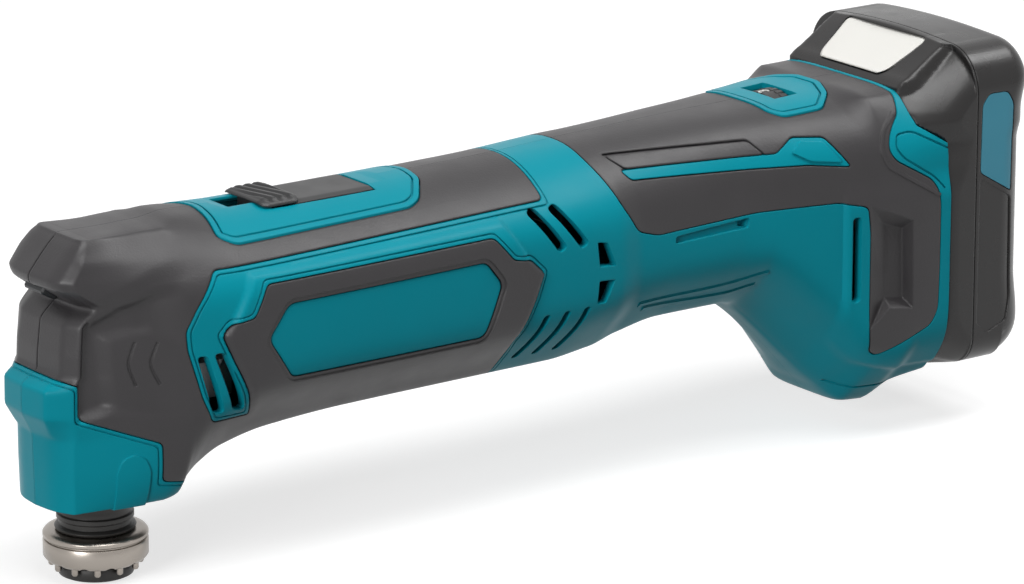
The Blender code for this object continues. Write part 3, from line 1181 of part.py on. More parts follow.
def main():
    clear_scene()
    paint = {
        "teal": principled("teal_plastic", (0.003, 0.30, 0.38), 0.38),
        "rubber": principled("grip_rubber", (0.045, 0.044, 0.047), 0.62),
        "black_plastic": principled("black_plastic", (0.020, 0.020, 0.021), 0.45),
        "battery": principled("battery_plastic", (0.026, 0.021, 0.020), 0.40),
        "white_plastic": principled("white_plastic", (0.88, 0.87, 0.84), 0.45),
        "steel": principled("bright_steel", (0.62, 0.61, 0.60), 0.28, 1.0),
        "nickel": principled("satin_nickel", (0.56, 0.52, 0.47), 0.34, 1.0),
        "dark_steel": principled("black_steel", (0.045, 0.043, 0.042), 0.42, 0.8),
        "aluminium": principled("cast_aluminium", (0.55, 0.56, 0.57), 0.48, 1.0),
        "copper": principled("copper", (0.72, 0.38, 0.22), 0.35, 1.0),
        "ferrite": principled("ferrite", (0.055, 0.055, 0.060), 0.70),
        "cell": principled("cell_wrap", (0.10, 0.32, 0.12), 0.40),
        "board": principled("circuit_board", (0.02, 0.16, 0.07), 0.50),
        "lens": principled("clear_lens", (0.80, 0.84, 0.86), 0.15),
    }
    make_housing(paint)
    make_skin(paint)
    make_gear_head(paint)
    make_motor(paint)
    make_controls(paint)
    make_battery(paint)


main()
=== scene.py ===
"""Visual model of the cordless oscillating multi tool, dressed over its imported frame.

Shapes are drawn in millimetres in tool coordinates: the spindle axis is X = Y = 0, the accessory
seat is Z = 0, +X runs to the rear and the left side is -Y. finished() moves them into the frame.
"""

import json
import math

import bmesh
import bpy
import numpy as np
from mathutils import Matrix, Vector


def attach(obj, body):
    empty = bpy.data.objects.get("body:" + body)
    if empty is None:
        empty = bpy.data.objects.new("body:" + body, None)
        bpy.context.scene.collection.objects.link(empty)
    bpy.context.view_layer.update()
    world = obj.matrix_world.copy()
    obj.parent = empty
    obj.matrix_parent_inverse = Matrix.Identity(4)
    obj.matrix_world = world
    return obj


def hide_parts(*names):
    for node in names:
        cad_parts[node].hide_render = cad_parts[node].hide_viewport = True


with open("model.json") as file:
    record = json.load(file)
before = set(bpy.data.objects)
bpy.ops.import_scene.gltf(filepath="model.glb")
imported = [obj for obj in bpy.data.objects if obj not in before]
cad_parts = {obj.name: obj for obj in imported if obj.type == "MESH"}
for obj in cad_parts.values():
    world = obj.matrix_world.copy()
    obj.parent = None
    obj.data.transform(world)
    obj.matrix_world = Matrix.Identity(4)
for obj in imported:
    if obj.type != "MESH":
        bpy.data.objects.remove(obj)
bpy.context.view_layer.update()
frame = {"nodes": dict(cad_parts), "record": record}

MM = 0.001
# From tool coordinates to the frame, in metres
FRAME_SHIFT = Vector((-0.11735, 0.0, 0.0039))
# Gap between the shells, gap round pieces that are let in, wall of the shells, depth of the grips
SEAM = 0.04
LINE_GAP = 0.28
WALL = 2.5
GRIP_DEPTH = 1.2
REAR = 226.0
# How softly the sides and the belly turn into each other
SIDE_SOFTNESS = 2.2
BELLY_SOFTNESS = 1.0
# Past every surface of the tool
FAR = 60.0

# Nose levels: height, middle X, flat half width, its X, edge half width, its X
NOSE = np.array((
    (77.9, -8.4, 8, -8.2, 9.7, -7.2),
    (77.4, -9, 8.2, -8.8, 10.3, -7.8),
    (76.2, -10.4, 8.4, -10.2, 11, -9.2),
    (73.6, -12.8, 8.4, -12.5, 11.8, -11.4),
    (69.4, -16.3, 8.4, -15.8, 11.8, -14.4),
    (67.4, -15.9, 8.2, -15.3, 12, -13.5),
    (62.8, -9.2, 9, -8.9, 13.5, -7),
    (60.4, -11.9, 9, -11.7, 13.1, -9.8),
    (59, -13.3, 9, -13, 13, -11),
    (52, -14.2, 9.5, -13.9, 13.1, -11.6),
    (46.9, -14.5, 9.5, -14.2, 13.1, -11.8),
    (46.4, -15.8, 8, -15.4, 13, -12.6),
    (44.4, -18.7, 8.8, -18, 13, -12.6),
    (37.6, -18.8, 8.8, -18.1, 12.8, -12.6),
    (32.4, -16.2, 7.4, -15.5, 12.1, -12.7),
    (24, -16, 7, -15.4, 12, -12.8),
    (15.3, -15.8, 7, -15.2, 11.8, -12.7),
))
NOSE_HIGH = NOSE[0, 0]
NOSE_LOW = NOSE[-1, 0]
LIP_Z = 46.4
# X where the nose rows give way to plain sections
NOSE_END = 8.0

# Body sections: X, top, bottom, half width, top flat, shoulder, lower edge, bottom flat
SECTIONS = np.array((
    (2, 77.8, 15.3, 18.8, 9.2, 67, 19.5, 16.2),
    (7, 77.9, 15.4, 20.3, 9.4, 66.6, 19.8, 16.8),
    (11, 77.9, 16.2, 21.5, 9.6, 66.2, 21, 17),
    (14, 78.1, 18.4, 22.4, 9.8, 66, 28, 15.2),
    (19, 78.8, 21.4, 23.7, 10.5, 66, 34.5, 13.6),
    (26, 78.5, 24.4, 25.2, 13, 65.7, 38.6, 13),
    (38, 77.9, 26.7, 26, 13, 65.5, 40.6, 13),
    (60, 77.7, 27.8, 26.2, 13, 65.5, 41.2, 13),
    (100, 78, 28.1, 26, 13, 65.5, 41.2, 13),
    (118, 78.5, 28.2, 25.9, 13, 65.5, 41.2, 13),
    (131, 79.1, 29.1, 25.4, 12, 65, 42.4, 12),
    (139, 79.3, 31.2, 23.8, 12, 65.5, 44.4, 12),
    (152, 79.7, 33, 23.5, 12, 66, 45.4, 11.5),
    (168, 80.1, 32.8, 23.8, 12, 67, 45.4, 11),
    (177, 80.2, 31.2, 24.7, 12.5, 67.5, 45, 8),
    (182, 80.3, 27.8, 25.4, 13, 67.8, 42.5, 5.5),
    (187, 80.4, 23.6, 26.1, 13.5, 68, 38.5, 4.8),
    (197, 80.8, 13.5, 27.7, 16, 69, 29, 6),
    (203.5, 81.3, 6.5, 28.8, 19, 70, 20.5, 9.5),
    (208.5, 82.2, 2, 29.7, 21, 70.5, 18, 13),
    (213.4, 82.2, 1.8, 30.4, 21, 71, 17, 14),
    (218.4, 82.3, 6.9, 31, 21, 71.5, 19.5, 19),
    (226, 82.6, 9.6, 31.5, 21, 72, 20, 23),
))
# How strongly the top is arched, from a flat hood to a round back
ARCHING = np.array(((2, 0), (13, 0), (26, 1), (203, 1), (208.5, 0.1), (226, 0.1)))
ARCH_POWERS = np.array(((110, 2.1), (150, 2.6), (185, 3.4)))

# Side outlines, as X and Z
FRONT_GRIP = (
    (-30, 52), (-16.4, 47.2), (-11.4, 45.6), (-11.4, 37.6), (6.1, 30.8), (6.4, 21.6), (13.2, 20.8),
    (13.8, 10), (100, 10), (100.6, 39.1), (105.5, 49.3), (107.6, 55.1), (103.9, 58.7), (98.6, 59.6),
    (93.6, 65.5), (31, 64.9), (27.2, 57.8), (21.9, 56.9), (19.9, 54.5), (22.8, 47.9), (26.6, 40),
    (28.8, 33.6), (17.8, 34), (15, 40.2), (11.8, 51.7), (11.5, 56.3), (14.1, 61.3), (19.8, 69.1),
    (111.6, 70.8), (112.2, 90), (-30, 90),
)
SIDE_PLATE = ((30.9, 52.3), (36.2, 59.7), (90.8, 60.3), (95.3, 54.5), (90.6, 42.4), (37.2, 42.4))
REAR_GRIP = (
    (128.5, 90), (129, 76.6), (132.9, 66.6), (137.4, 59.7), (143.5, 57.9), (160.1, 58.4), (173.2, 58.9),
    (195.3, 58.4), (202.6, 56.8), (203.3, 50), (203.3, 30), (203.6, 24), (204.4, 19.8), (206, 18.6),
    (220.6, 24.6), (222.6, 28.2), (222.9, 40), (222.9, 55), (222.3, 58.6), (220.6, 61.2), (210.9, 66.8),
    (209.2, 69.6), (210.2, 72.8), (212.1, 75.1), (214.6, 77.2), (215.6, 79.4), (216.4, 81.2),
    (217.2, 90),
)
INLAY = (
    (136.9, 73.1), (180, 71.6), (185.6, 74.5), (193.7, 73.8), (198.7, 66.9), (188, 68.4), (138.7, 71.1),
)
INLAY_END = ((184, 71.6), (187.2, 73.8), (193, 73.1), (196.6, 68.1), (188.4, 69.2))
GRIP_PANEL = ((135.2, 76.2), (173.9, 75), (176.6, 71.9), (138.4, 73.4))
PLATEAU = (
    (21.9, 57.6), (27.6, 67.9), (97.7, 69.1), (103.9, 59.1), (108.2, 55.1), (105.8, 49.3), (101, 39.1),
    (99, 26), (28, 26), (28.2, 34.6), (26.4, 40), (22.8, 47.9), (19.6, 54.5),
)
HOOD_CREASE = np.array((
    (-16, 67), (-12, 64.2), (-8.4, 61.2), (-5.2, 62.8), (-2.6, 64.1), (1.6, 65.8), (5.9, 67.3), (11, 68.3),
    (18, 69.3),
))
NOSE_LEDGE = np.array(((-11.5, 36.4), (-5.1, 38.4), (2.2, 36.6), (9, 35)))
NOSE_PAD = (
    (-6.2, 56.4), (-5.6, 44), (-4.4, 36), (3, 33), (12, 33), (12, 50), (8.3, 55), (4.6, 57.6),
    (-0.6, 57.6),
)
NOSE_MARKS = (((0.7, 54.8), (-1, 49.7), (0.8, 44.5)), ((5.6, 54.4), (3.7, 49.3), (6, 44.4)))
NOSE_ARCH = ((-3.8, 14), (-3.8, 24.6), (-2.6, 27.6), (-0.2, 28.8), (2.2, 27.6), (3.4, 24.6), (3.4, 14))
POCKET_RIM = ((202.9, 57), (215, 52), (215.4, 29.4), (208.8, 30.4), (202.9, 24.8))
POCKET_FLOOR = ((208.9, 51), (213.9, 49.4), (214.3, 31.8), (209.3, 32.4), (208.9, 33.4))
POCKET_DEPTH = 3.0
# How far the forms of the side stand out, or lie back
HOOD_RISE = 1.0
HOLLOW_DEPTH = 2.3
PAD_RISE = 1.4
PLATEAU_RISE = 1.2
STRIP_RISE = 1.2
RAISED_ROOT = 0.6
LEG_STRIP = (
    (196, 70), (196.4, 45), (196.4, 27.8), (197.9, 21.3), (200.2, 17.8), (203.3, 15.4), (214, 12.5),
    (240, 12.5), (240, 70),
)
GROOVE_SLOT = (
    (148.6, 55), (148.6, 56.5), (167.2, 57.6), (170.6, 57.8), (170.2, 55.4), (149.2, 54.8),
)
GROOVE_END = ((167.4, 57.4), (170.2, 57.5), (169.9, 55.6), (167.6, 56))
RIBS = (
    ((140.4, 40.3), (158.4, 40), (169.4, 40.5), (178.2, 42.4)),
    ((142.8, 38.5), (160.3, 37.4), (170.7, 37), (177.4, 38.4)),
)
RIB_STEPS = ((1.5, 0.15), (0.7, 0.35))
RIM_LINE = (
    (226, 68.2), (216.6, 73.2), (212.4, 72.8), (211.4, 69.9), (213.2, 67.3), (221.6, 61.8),
    (224.4, 58.6),
)
GRIP_RIDGE = ((213.6, 77.6), (209, 74.2), (207.2, 70), (208.6, 65.8), (222.6, 57.2))
FOOT_LINE = ((203.4, 8.6), (207.5, 7.4), (217.6, 7.8))
VENTS = (
    ((13.9, 50.2), (16.3, 50.2), (20.8, 36), (17.5, 36.4)),
    ((17.8, 50.5), (20.5, 50.5), (26.5, 35.8), (22.8, 36.3)),
    ((105.2, 69), (107.8, 70), (115, 60), (112.6, 58.8)),
    ((111.4, 69), (114, 70), (121.4, 60), (119, 58.8)),
    ((103.8, 33), (105.8, 33), (110.4, 44.4), (108.4, 44.4)),
    ((109.7, 33), (111.7, 33), (116.3, 44.4), (114.3, 44.4)),
    ((115.6, 33), (117.6, 33), (122.2, 44.4), (120.2, 44.4)),
    ((198.2, 33), (200.6, 33), (200.6, 54.4), (198.2, 54.4)),
)
SHARP_VENTS = (
    ((123.7, 59.7), (126.8, 59.1), (129.3, 53.2), (124.3, 53.6)),
    ((124.2, 50.2), (129.1, 49.8), (126.6, 44.4), (123.8, 44.5)),
)

# Middle line of the lens under the hood, its half length and reach across that line, and its half width
LENS_LINE = ((-9.2, 62.8), (-16.8, 67.2))
LENS_HALF_LENGTH = 2.8
LENS_REACH = (-1.5, 4.8)
LENS_HALF = 4.4
# Bore for the spindle: radius, low, high
SPINDLE_BORE = (12.8, 0.0, 18.4)
# Opening for the battery's rail, on X, Y and Z
RAIL_OPENING = ((218.0, 230.0), (-12.3, 12.3), (25.7, 76.3))

# Plan outlines, as X and Y, and openings as low X, high X, half width
SWITCH_BEZEL = (
    (27.2, 0), (26.2, -8), (24.8, -14.4), (28.4, -17.0), (77, -15.7), (80.6, -14), (85.6, -7), (86.6, 0),
)
SWITCH_SLOT = (43.8, 72.4, 8.4)
SWITCH_TRACK = (34.6, 45.0, 4.0)
# Side outline of the shallow dish in the switch plate, as X and Z
SWITCH_DISH = ((24.0, 79.6), (30.0, 79.0), (34.0, 77.85), (76.0, 77.65), (81.0, 78.6), (88.0, 79.6))
SLIDER = (50.0, 71.9, 8.1)
SLIDER_LEVELS = (-1.7, -0.5)
SLIDER_STEM = (42.0, 47.0, 3.4)
STEM_LEVELS = (73.0, 78.3)
SLIDER_WEB = (50.0, 51.2, 7.8)
KNOB = (41.0, 51.8, 8.7)
KNOB_HEIGHT = 0.6
KNOB_FLAT = 78.0
KNOB_CORNER = 2.6
KNOB_EDGE = 2.0
KNOB_RIB_PITCH = 2.5
KNOB_RIB_HEIGHT = 0.38
# The arch on which the knob slides, below its flat: top, shoulder, half width, power
KNOB_SEAT = (78.65, 65.5, 26.4, 2.1)
DIAL_BEZEL = (
    (184.6, 0), (184.6, -12), (187.2, -15.2), (198.5, -16.2), (204, -11.2), (207.2, -4), (207.2, 0),
)
DIAL_WINDOW = (191.2, 198.2, 6.8)
DIAL_AXIS_Z = 69.425
DIAL_RADIUS = 11.7
DIAL_ENDS = (191.4, 197.6)
DIAL_POINTS = 288
DIAL_TEETH = 36
DIAL_TOOTH = 0.35
DIAL_NUMBERS = 5
DIAL_STEP = math.radians(60.0)
NUMBER_SIZE = 4.2
NUMBER_HALF_DEPTH = 0.15

# Battery sizes
BATTERY_FRONT = 226.4
BATTERY_BACK = 253.2
BATTERY_SEAM = 234.6
BATTERY_SEAM_GAP = 0.15
BATTERY_WALL = 2.0
BATTERY_LOW = 11.0
BATTERY_HIGH = 91.3
BATTERY_CROWN = 1.0
BATTERY_HALF = 32.0
BATTERY_CORNERS = (8.0, 11.0)
BATTERY_REAR_CORNERS = (10.5, 11.0)
# Front face of the battery by height, where the housing's upper rear corner makes room for it
CONTACT = np.array(((69.4, 226.4), (74.2, 219.0), (76.5, 218.4), (90.0, 218.3)))
CONTACT_INNER = 15.0
CONTACT_ROOF = 77.6
TONGUE_HALF = 20.8
TONGUE = np.array((
    (82.2, 218.0), (83.7, 219.9), (84.6, 221.7), (88.0, 227.4), (90.4, 231.2), (91.4, 232.5), (93, 233.4),
))
BUTTON = ((-11.2, 83.9), (11.2, 83.9), (12.7, 84.8), (15.2, 91.3), (-15.2, 91.3), (-12.7, 84.8))
BUTTON_CORNER = 1.4
BUTTON_REACH = (205.0, 245.0)
# The rail's channel, as front X, rear X, half width and top: the wall round it, its mouth and its head
CHANNEL_WALL = (228.0, 232.4, 18.2, 77.8)
CHANNEL = ((220.0, 229.0, 12.6, 76.3), (227.9, 231.3, 16.6, 76.3))
CHANNEL_LOW = BATTERY_LOW - 5.0
# Slits for the clips in that wall: X, Y on one side, top
SLIT_REACH = (229.0, 234.0)
CLIP_SLIT = (7.9, 11.6)
SLIT_TOP = 51.4
LABEL = ((236.0, 77.6), (238.2, 80.3), (244.2, 80.1), (246.4, 76.6), (246.2, 54.2), (235.7, 60.4))
LABEL_PANEL = ((235.8, 59.2), (246.2, 53.0), (246.7, 27.5), (245.2, 21.6), (239.2, 19.2), (235.7, 22.0))

# Holder profiles, as radius and height
FLANGE = (
    (6.4, 0.0), (11.2, 0.0), (11.7, 0.4), (12.1, 1.0), (12.1, 4.5), (11.9, 4.8), (11.5, 4.9), (11.5, 5.2),
    (11.9, 5.3), (12.1, 5.5), (12.1, 6.2), (11.7, 6.7), (10.6, 7.0), (6.4, 7.0),
)
NECK = (
    (6.4, 7.3), (9.2, 7.3), (9.4, 7.8), (9.0, 8.3), (8.4, 8.5), (8.4, 9.6), (8.9, 9.9), (8.9, 10.9),
    (8.4, 11.2), (8.4, 12.4), (8.6, 12.7), (8.6, 15.4), (6.4, 15.4),
)
BOLT = (
    (0, -3.9), (7.8, -3.9), (8.6, -3.5), (8.85, -2.8), (8.85, -0.9), (8.5, -0.4), (3.4, -0.3),
    (3.4, 14.0), (0, 14.0),
)
BOLT_SOCKET = 2.9
BOLT_SOCKET_LEVELS = (-5.0, -1.2)
PIN = ((0, 1.0), (0.8, 1.0), (0.8, -1.3), (0.6, -1.7), (0.3, -1.85), (0, -1.85))
PIN_COUNT = 12
PIN_CIRCLE = 10.1
# Scallops between the pins: radius, inner and outer end, height of the axis
SCALLOP = (1.3, 9.3, 14.0)
SCALLOP_Z = -0.7

# Places of the housing screws, as X and Z, and the profile of their wells, as radius and Y
SCREW_BOSS = 4.2
SCREW_WELL = ((0, -1), (1.6, -1), (1.6, 7.0), (3.0, 7.0), (3.0, FAR), (0, FAR))
SCREWS = (
    (4.0, 69.0), (24.0, 31.0), (114.0, 66.0), (114.0, 37.0), (153.0, 41.2), (176.0, 64.5), (206.0, 14.0),
    (211.0, 64.0),
)


# The body's surface


def monotone(table, places):
    """Blends the table's rows smoothly, without overshoot, at the given X places."""
    xs, values = table[:, 0], table[:, 1:]
    steps = np.diff(xs)[:, None]
    slopes = np.diff(values, axis=0) / steps
    product = slopes[:-1] * slopes[1:]
    total = np.where(product > 0, slopes[:-1] + slopes[1:], 1.0)
    tangents = np.vstack([slopes[:1], np.where(product > 0, 2 * product / total, 0.0), slopes[-1:]])
    i = np.clip(np.searchsorted(xs, places) - 1, 0, len(xs) - 2)
    step = steps[i]
    t = ((places - xs[i]) / step[:, 0])[:, None]
    return (
        (1 + 2 * t) * (1 - t) ** 2 * values[i]
        + t * (1 - t) ** 2 * step * tangents[i]
        + t * t * (3 - 2 * t) * values[i + 1]
        + t * t * (t - 1) * step * tangents[i + 1]
    )


def read_off(table, places):
    """The second column of a table at places in its first column."""
    return np.interp(places, table[:, 0], table[:, 1])


def soft_step(value, low, high):
    """0 below the low value, 1 above the high one, and a smooth change between them."""
    t = np.clip((value - low) / (high - low), 0.0, 1.0)
    return t * t * (3 - 2 * t)


def past_corner(one, other):
    """Distance from a round corner's middle, from how far a point lies past it in two directions."""
    beyond = np.hypot(np.maximum(one, 0), np.maximum(other, 0))
    return beyond + np.minimum(np.maximum(one, other), 0)


def inside_distance(x, z, outline):
    """Distance to a closed outline, positive inside it, at arrays of X and Z."""
    corners = np.array(outline, dtype=float)
    best = np.full(x.shape, np.inf)
    inside = np.zeros(x.shape, dtype=bool)
    for a, b in zip(corners, np.roll(corners, -1, axis=0)):
        along = b - a
        t = np.clip(((x - a[0]) * along[0] + (z - a[1]) * along[1]) / (along @ along), 0.0, 1.0)
        best = np.minimum(best, np.hypot(x - a[0] - t * along[0], z - a[1] - t * along[1]))
        if along[1]:
            crosses = (a[1] > z) != (b[1] > z)
            inside ^= crosses & (x < a[0] + (z - a[1]) * along[0] / along[1])
    return np.where(inside, best, -best)


def relief(x, z):
    """How far the side stands out from the plain section, in addition, at X and Z."""
    crease = read_off(HOOD_CREASE, x)
    ledge = read_off(NOSE_LEDGE, x)
    hood = soft_step(z - crease, -0.5, 4.0) * soft_step(77.0 - z, 0.0, 5.0) * (1 - soft_step(x, 4.0, 24.0))
    hollow = soft_step(crease - z, 0.0, 4.0) * soft_step(z - ledge, -0.5, 2.6)
    hollow = hollow * (1 - soft_step(x, 3.0, 13.0))
    pad = soft_step(inside_distance(x, z, NOSE_PAD), -1.4, 2.2) * hollow
    plateau = np.clip(inside_distance(x, z, PLATEAU) / 1.2, 0.0, 1.0) * soft_step(z, 31.0, 42.0)
    strip = soft_step(inside_distance(x, z, LEG_STRIP), 0.0, 1.0) * soft_step(64.0 - z, 0.0, 8.0)
    return (
        HOOD_RISE * hood - HOLLOW_DEPTH * hollow + PAD_RISE * pad
        + PLATEAU_RISE * plateau + STRIP_RISE * strip
    )


# Heights at which the nose and the body's sides are drawn
LEVEL_STEP = 0.62
EDGE_LEVELS = (77.5, 77.0, 15.7, 16.3)
LEVELS = np.concatenate([np.arange(NOSE_LOW, NOSE_HIGH, LEVEL_STEP), NOSE[:, 0], EDGE_LEVELS])
LEVELS = np.unique(LEVELS)[::-1]
SHARE = (LEVELS[0] - LEVELS) / (LEVELS[0] - LEVELS[-1])
CAP_PARTS = np.array((0.0, 0.3, 0.55, 0.72, 0.84, 0.92, 0.97))
STATION_STEP = 0.7


def top_softness(x):
    return 0.5 + 1.6 * soft_step(x, 12.0, 20.0) - 0.8 * soft_step(x, 203.0, 208.0)


def nose_values(levels):
    """The nose sizes at the levels, with its creases a little rounded."""
    heights = NOSE[::-1, 0]
    shifts = (-0.5, -0.25, 0.0, 0.25, 0.5)
    columns = []
    for column in range(1, NOSE.shape[1]):
        sizes = NOSE[::-1, column]
        values = [np.interp(np.clip(levels + s, NOSE_LOW, NOSE_HIGH), heights, sizes) for s in shifts]
        columns.append(np.mean(values, axis=0))
    return columns


def bent(start, corner, end, steps):
    """Points on the curve from a start to an end that rounds the corner between them."""
    places = np.linspace(0.0, 1.0, steps).tolist()
    return [(1 - t) ** 2 * start + 2 * t * (1 - t) * corner + t * t * end for t in places]


def corner_curve(before, corner, after, reach, steps):
    """Points that round a corner between two straight runs, for all levels at once."""
    back, on = before - corner, after - corner
    back_length = np.linalg.norm(back, axis=1, keepdims=True)
    on_length = np.linalg.norm(on, axis=1, keepdims=True)
    start = corner + back / back_length * np.minimum(reach, 0.45 * back_length)
    end = corner + on / on_length * np.minimum(reach, 0.45 * on_length)
    return bent(start, corner, end, steps)


def between(start, end, steps, crowding=1.0):
    """Points between two rows, crowded towards the start where the crowding is above 1."""
    return [start + (end - start) * t ** crowding for t in np.linspace(0.0, 1.0, steps + 2)[1:-1]]


def section_widths(heights, sizes, softness, arched, power):
    """Half widths at heights for each row of section sizes, with soft corners."""
    top, bottom, half, top_flat, shoulder, lower, bottom_flat = (sizes[:, i:i + 1] for i in range(7))
    under = np.maximum(top - heights, 1e-4)
    over = np.maximum(heights - bottom, 1e-4)
    upper = heights - softness * np.log1p(-np.exp(-under / softness))
    below = heights + BELLY_SOFTNESS * np.log1p(-np.exp(-over / BELLY_SOFTNESS))
    roof = top_flat + (half - top_flat) * (top - upper) / (top - shoulder)
    arch = half * (under / (top - shoulder)) ** (1 / power)
    faces = np.stack([
        half + 0 * heights,
        roof + (arch - roof) * arched,
        bottom_flat + (half - bottom_flat) * (below - bottom) / (lower - bottom),
    ])
    least = faces.min(axis=0)
    return least - SIDE_SOFTNESS * np.log(np.exp((least - faces) / SIDE_SOFTNESS).sum(axis=0))


def station_rings(places, inset):
    """Side points of the left half of the body at X places, one row for each place."""
    outer = monotone(SECTIONS, places)
    sizes = outer - np.array((inset, -inset, inset, 0.4 * inset, 0.0, 0.0, 0.4 * inset))
    softness = top_softness(places)[:, None]
    rise, sink = softness * math.log(2), BELLY_SOFTNESS * math.log(2)
    shown = outer if inset > 0 else sizes
    high, low = shown[:, :1] - rise, shown[:, 1:2] + sink
    heights = np.clip(high + (low - high) * SHARE, sizes[:, 1:2] + sink, sizes[:, :1] - rise)
    arched, power = (read_off(table, places)[:, None] for table in (ARCHING, ARCH_POWERS))
    widths = section_widths(heights, sizes, softness, arched, power)
    xs = np.repeat(places[:, None], len(LEVELS), axis=1)
    return np.stack([xs, -(widths + relief(xs, heights)), heights], axis=2)


def cap_points(edge, rise, power, middle):
    """Points from the middle plane out to an edge of the side, crowned by the rise."""
    points = []
    for part in CAP_PARTS:
        y = middle + (edge[:, 1] - middle) * part
        points.append(np.stack([edge[:, 0], y, edge[:, 2] + rise * (1 - part ** power)], axis=1))
    return points


def nose_rows(inset, middle):
    """Rows of points round the nose, from its middle line to the first full section."""
    centre_x, flat, flat_x, edge, edge_x = nose_values(LEVELS)
    z = np.clip(LEVELS, LEVELS[-1] + inset, LEVELS[0] - inset)
    if inset < 0:
        z[0], z[-1] = LEVELS[0] - inset, LEVELS[-1] + inset
    c = np.stack([centre_x + inset, np.full_like(z, middle), z], axis=1)
    d = np.stack([flat_x + inset, -flat, z], axis=1)
    e = np.stack([edge_x + inset, -(edge - inset), z], axis=1)
    plain = station_rings(np.array((SECTIONS[0, 0], NOSE_END)), inset)
    for ring in plain:
        ring[:, 1] += relief(ring[:, 0], ring[:, 2])
    s, s_next = plain
    low = soft_step(-z, -LIP_Z - 1.0, -LIP_Z + 3.0)[:, None]
    under = soft_step(-z, -34.0, -31.0)[:, None]
    hood = soft_step(z, 62.0, 66.0)[:, None]
    flat_curve = corner_curve(c, d, e, 1.2 - 0.4 * low + 2.8 * under + 0.8 * hood, 6)
    edge_curve = corner_curve(d, e, s, 0.7 + 0.4 * low - 0.6 * under + 1.2 * hood, 7)
    side_curve = corner_curve(e, s, s_next, 3.0, 6)
    rows = [c, *between(c, flat_curve[0], 3), *flat_curve, *edge_curve]
    rows += between(edge_curve[-1], side_curve[0], 22, 1.6)
    rows += [*side_curve, *between(side_curve[-1], s_next, 4)]
    for points in rows[1:]:
        fade = soft_step(points[:, 0] - edge_x + inset, 0.3, 2.0) * soft_step(-points[:, 1], 4.0, 8.0)
        points[:, 1] -= fade * relief(points[:, 0], points[:, 2])
    return np.stack(rows)


def quads_of(index):
    """The four-sided faces of a grid of point numbers."""
    corners = [index[:-1, :-1], index[:-1, 1:], index[1:, 1:], index[1:, :-1]]
    return np.stack(corners, axis=2).reshape(-1, 4)


def body_mesh(inset, middle, front, rear):
    """The left half of the body up to the middle plane, drawn in by an inset, as mesh data."""
    start = NOSE_END if front is None else front
    places = np.concatenate([[start], np.arange(start + STATION_STEP, rear - 0.5, STATION_STEP), [rear]])
    rows = station_rings(places, inset)
    full = np.ones(len(places))
    if front is None:
        nose = nose_rows(inset, middle)
        rows = np.concatenate([nose, rows])
        full = np.concatenate([np.linspace(0.0, 1.0, len(nose)), full])
        places = np.concatenate([np.full(len(nose), NOSE_END), places])
    crown = full * math.log(2)
    power = 5.0 - (5.0 - read_off(ARCH_POWERS, places)) * read_off(ARCHING, places)
    top = cap_points(rows[:, 0], crown * top_softness(places), power, middle)
    bottom = cap_points(rows[:, -1], -crown * BELLY_SOFTNESS, 5.0, middle)
    points = np.stack([*top, *(rows[:, j] for j in range(rows.shape[1])), *reversed(bottom)], axis=1)
    row_count, column_count = points.shape[:2]
    index = np.arange(row_count * column_count).reshape(row_count, column_count)
    faces = [*quads_of(index).tolist(), index[-1].tolist()]
    if front is None:
        middle_line = index[0, len(CAP_PARTS):column_count - len(CAP_PARTS)]
        faces.append([*middle_line.tolist(), *index[1:, -1].tolist(), *index[:0:-1, 0].tolist()])
    else:
        faces.append(index[0].tolist())
        faces.append([*index[:, -1].tolist(), *index[::-1, 0].tolist()])
    return mesh_of(points.reshape(-1, 3).tolist(), faces)


# Solids and the ways to combine them


def mesh_of(points, faces):
    """A closed mesh from points and faces, welded, with its faces turned outwards."""
    mesh = bpy.data.meshes.new("work")
    mesh.from_pydata(points, [], faces)
    work = bmesh.new()
    work.from_mesh(mesh)
    bmesh.ops.remove_doubles(work, verts=work.verts, dist=1e-4)
    bmesh.ops.dissolve_degenerate(work, edges=work.edges, dist=1e-5)
    bmesh.ops.triangulate(work, faces=work.faces)
    bmesh.ops.recalc_face_normals(work, faces=work.faces)
    work.to_mesh(mesh)
    work.free()
    return mesh


def mesh_from(work):
    """A new mesh of what an edit holds, which ends the edit."""
    mesh = bpy.data.meshes.new("work")
    work.to_mesh(mesh)
    work.free()
    return mesh


def link(data, name="work"):
    item = bpy.data.objects.new(name, data)
    bpy.context.scene.collection.objects.link(item)
    return item


def drop(item):
    bpy.data.objects.remove(item, do_unlink=True)


def evaluated_mesh(item):
    """The mesh that an object's modifiers or its text lead to."""
    graph = bpy.context.evaluated_depsgraph_get()
    return bpy.data.meshes.new_from_object(item.evaluated_get(graph))


body_store = {}


def body(inset=0.0, middle=-SEAM / 2, rear=REAR, front=None):
    """The left half of the body, or a length of it from a front X to a rear X."""
    key = (inset, middle, front, rear)
    if key not in body_store:
        body_store[key] = body_mesh(*key)
    return link(body_store[key].copy())


def combine(target, tool, operation):
    """Cuts, keeps or joins the target with the tool, and uses the tool up."""
    modifier = target.modifiers.new("shape", "BOOLEAN")
    modifier.operation = operation
    modifier.solver = "MANIFOLD"
    modifier.object = tool
    mesh = evaluated_mesh(target)
    target.modifiers.clear()
    target.data = mesh
    drop(tool)
    return target


def cut(target, *tools):
    for tool in tools:
        combine(target, tool, "DIFFERENCE")
    return target


def keep(target, tool):
    return combine(target, tool, "INTERSECT")


def join(target, *tools):
    for tool in tools:
        combine(target, tool, "UNION")
    return target


def copied(item):
    return link(item.data.copy())


def mirrored(item):
    work = bmesh.new()
    work.from_mesh(item.data)
    bmesh.ops.scale(work, vec=(1, -1, 1), verts=work.verts)
    bmesh.ops.reverse_faces(work, faces=work.faces)
    return link(mesh_from(work))


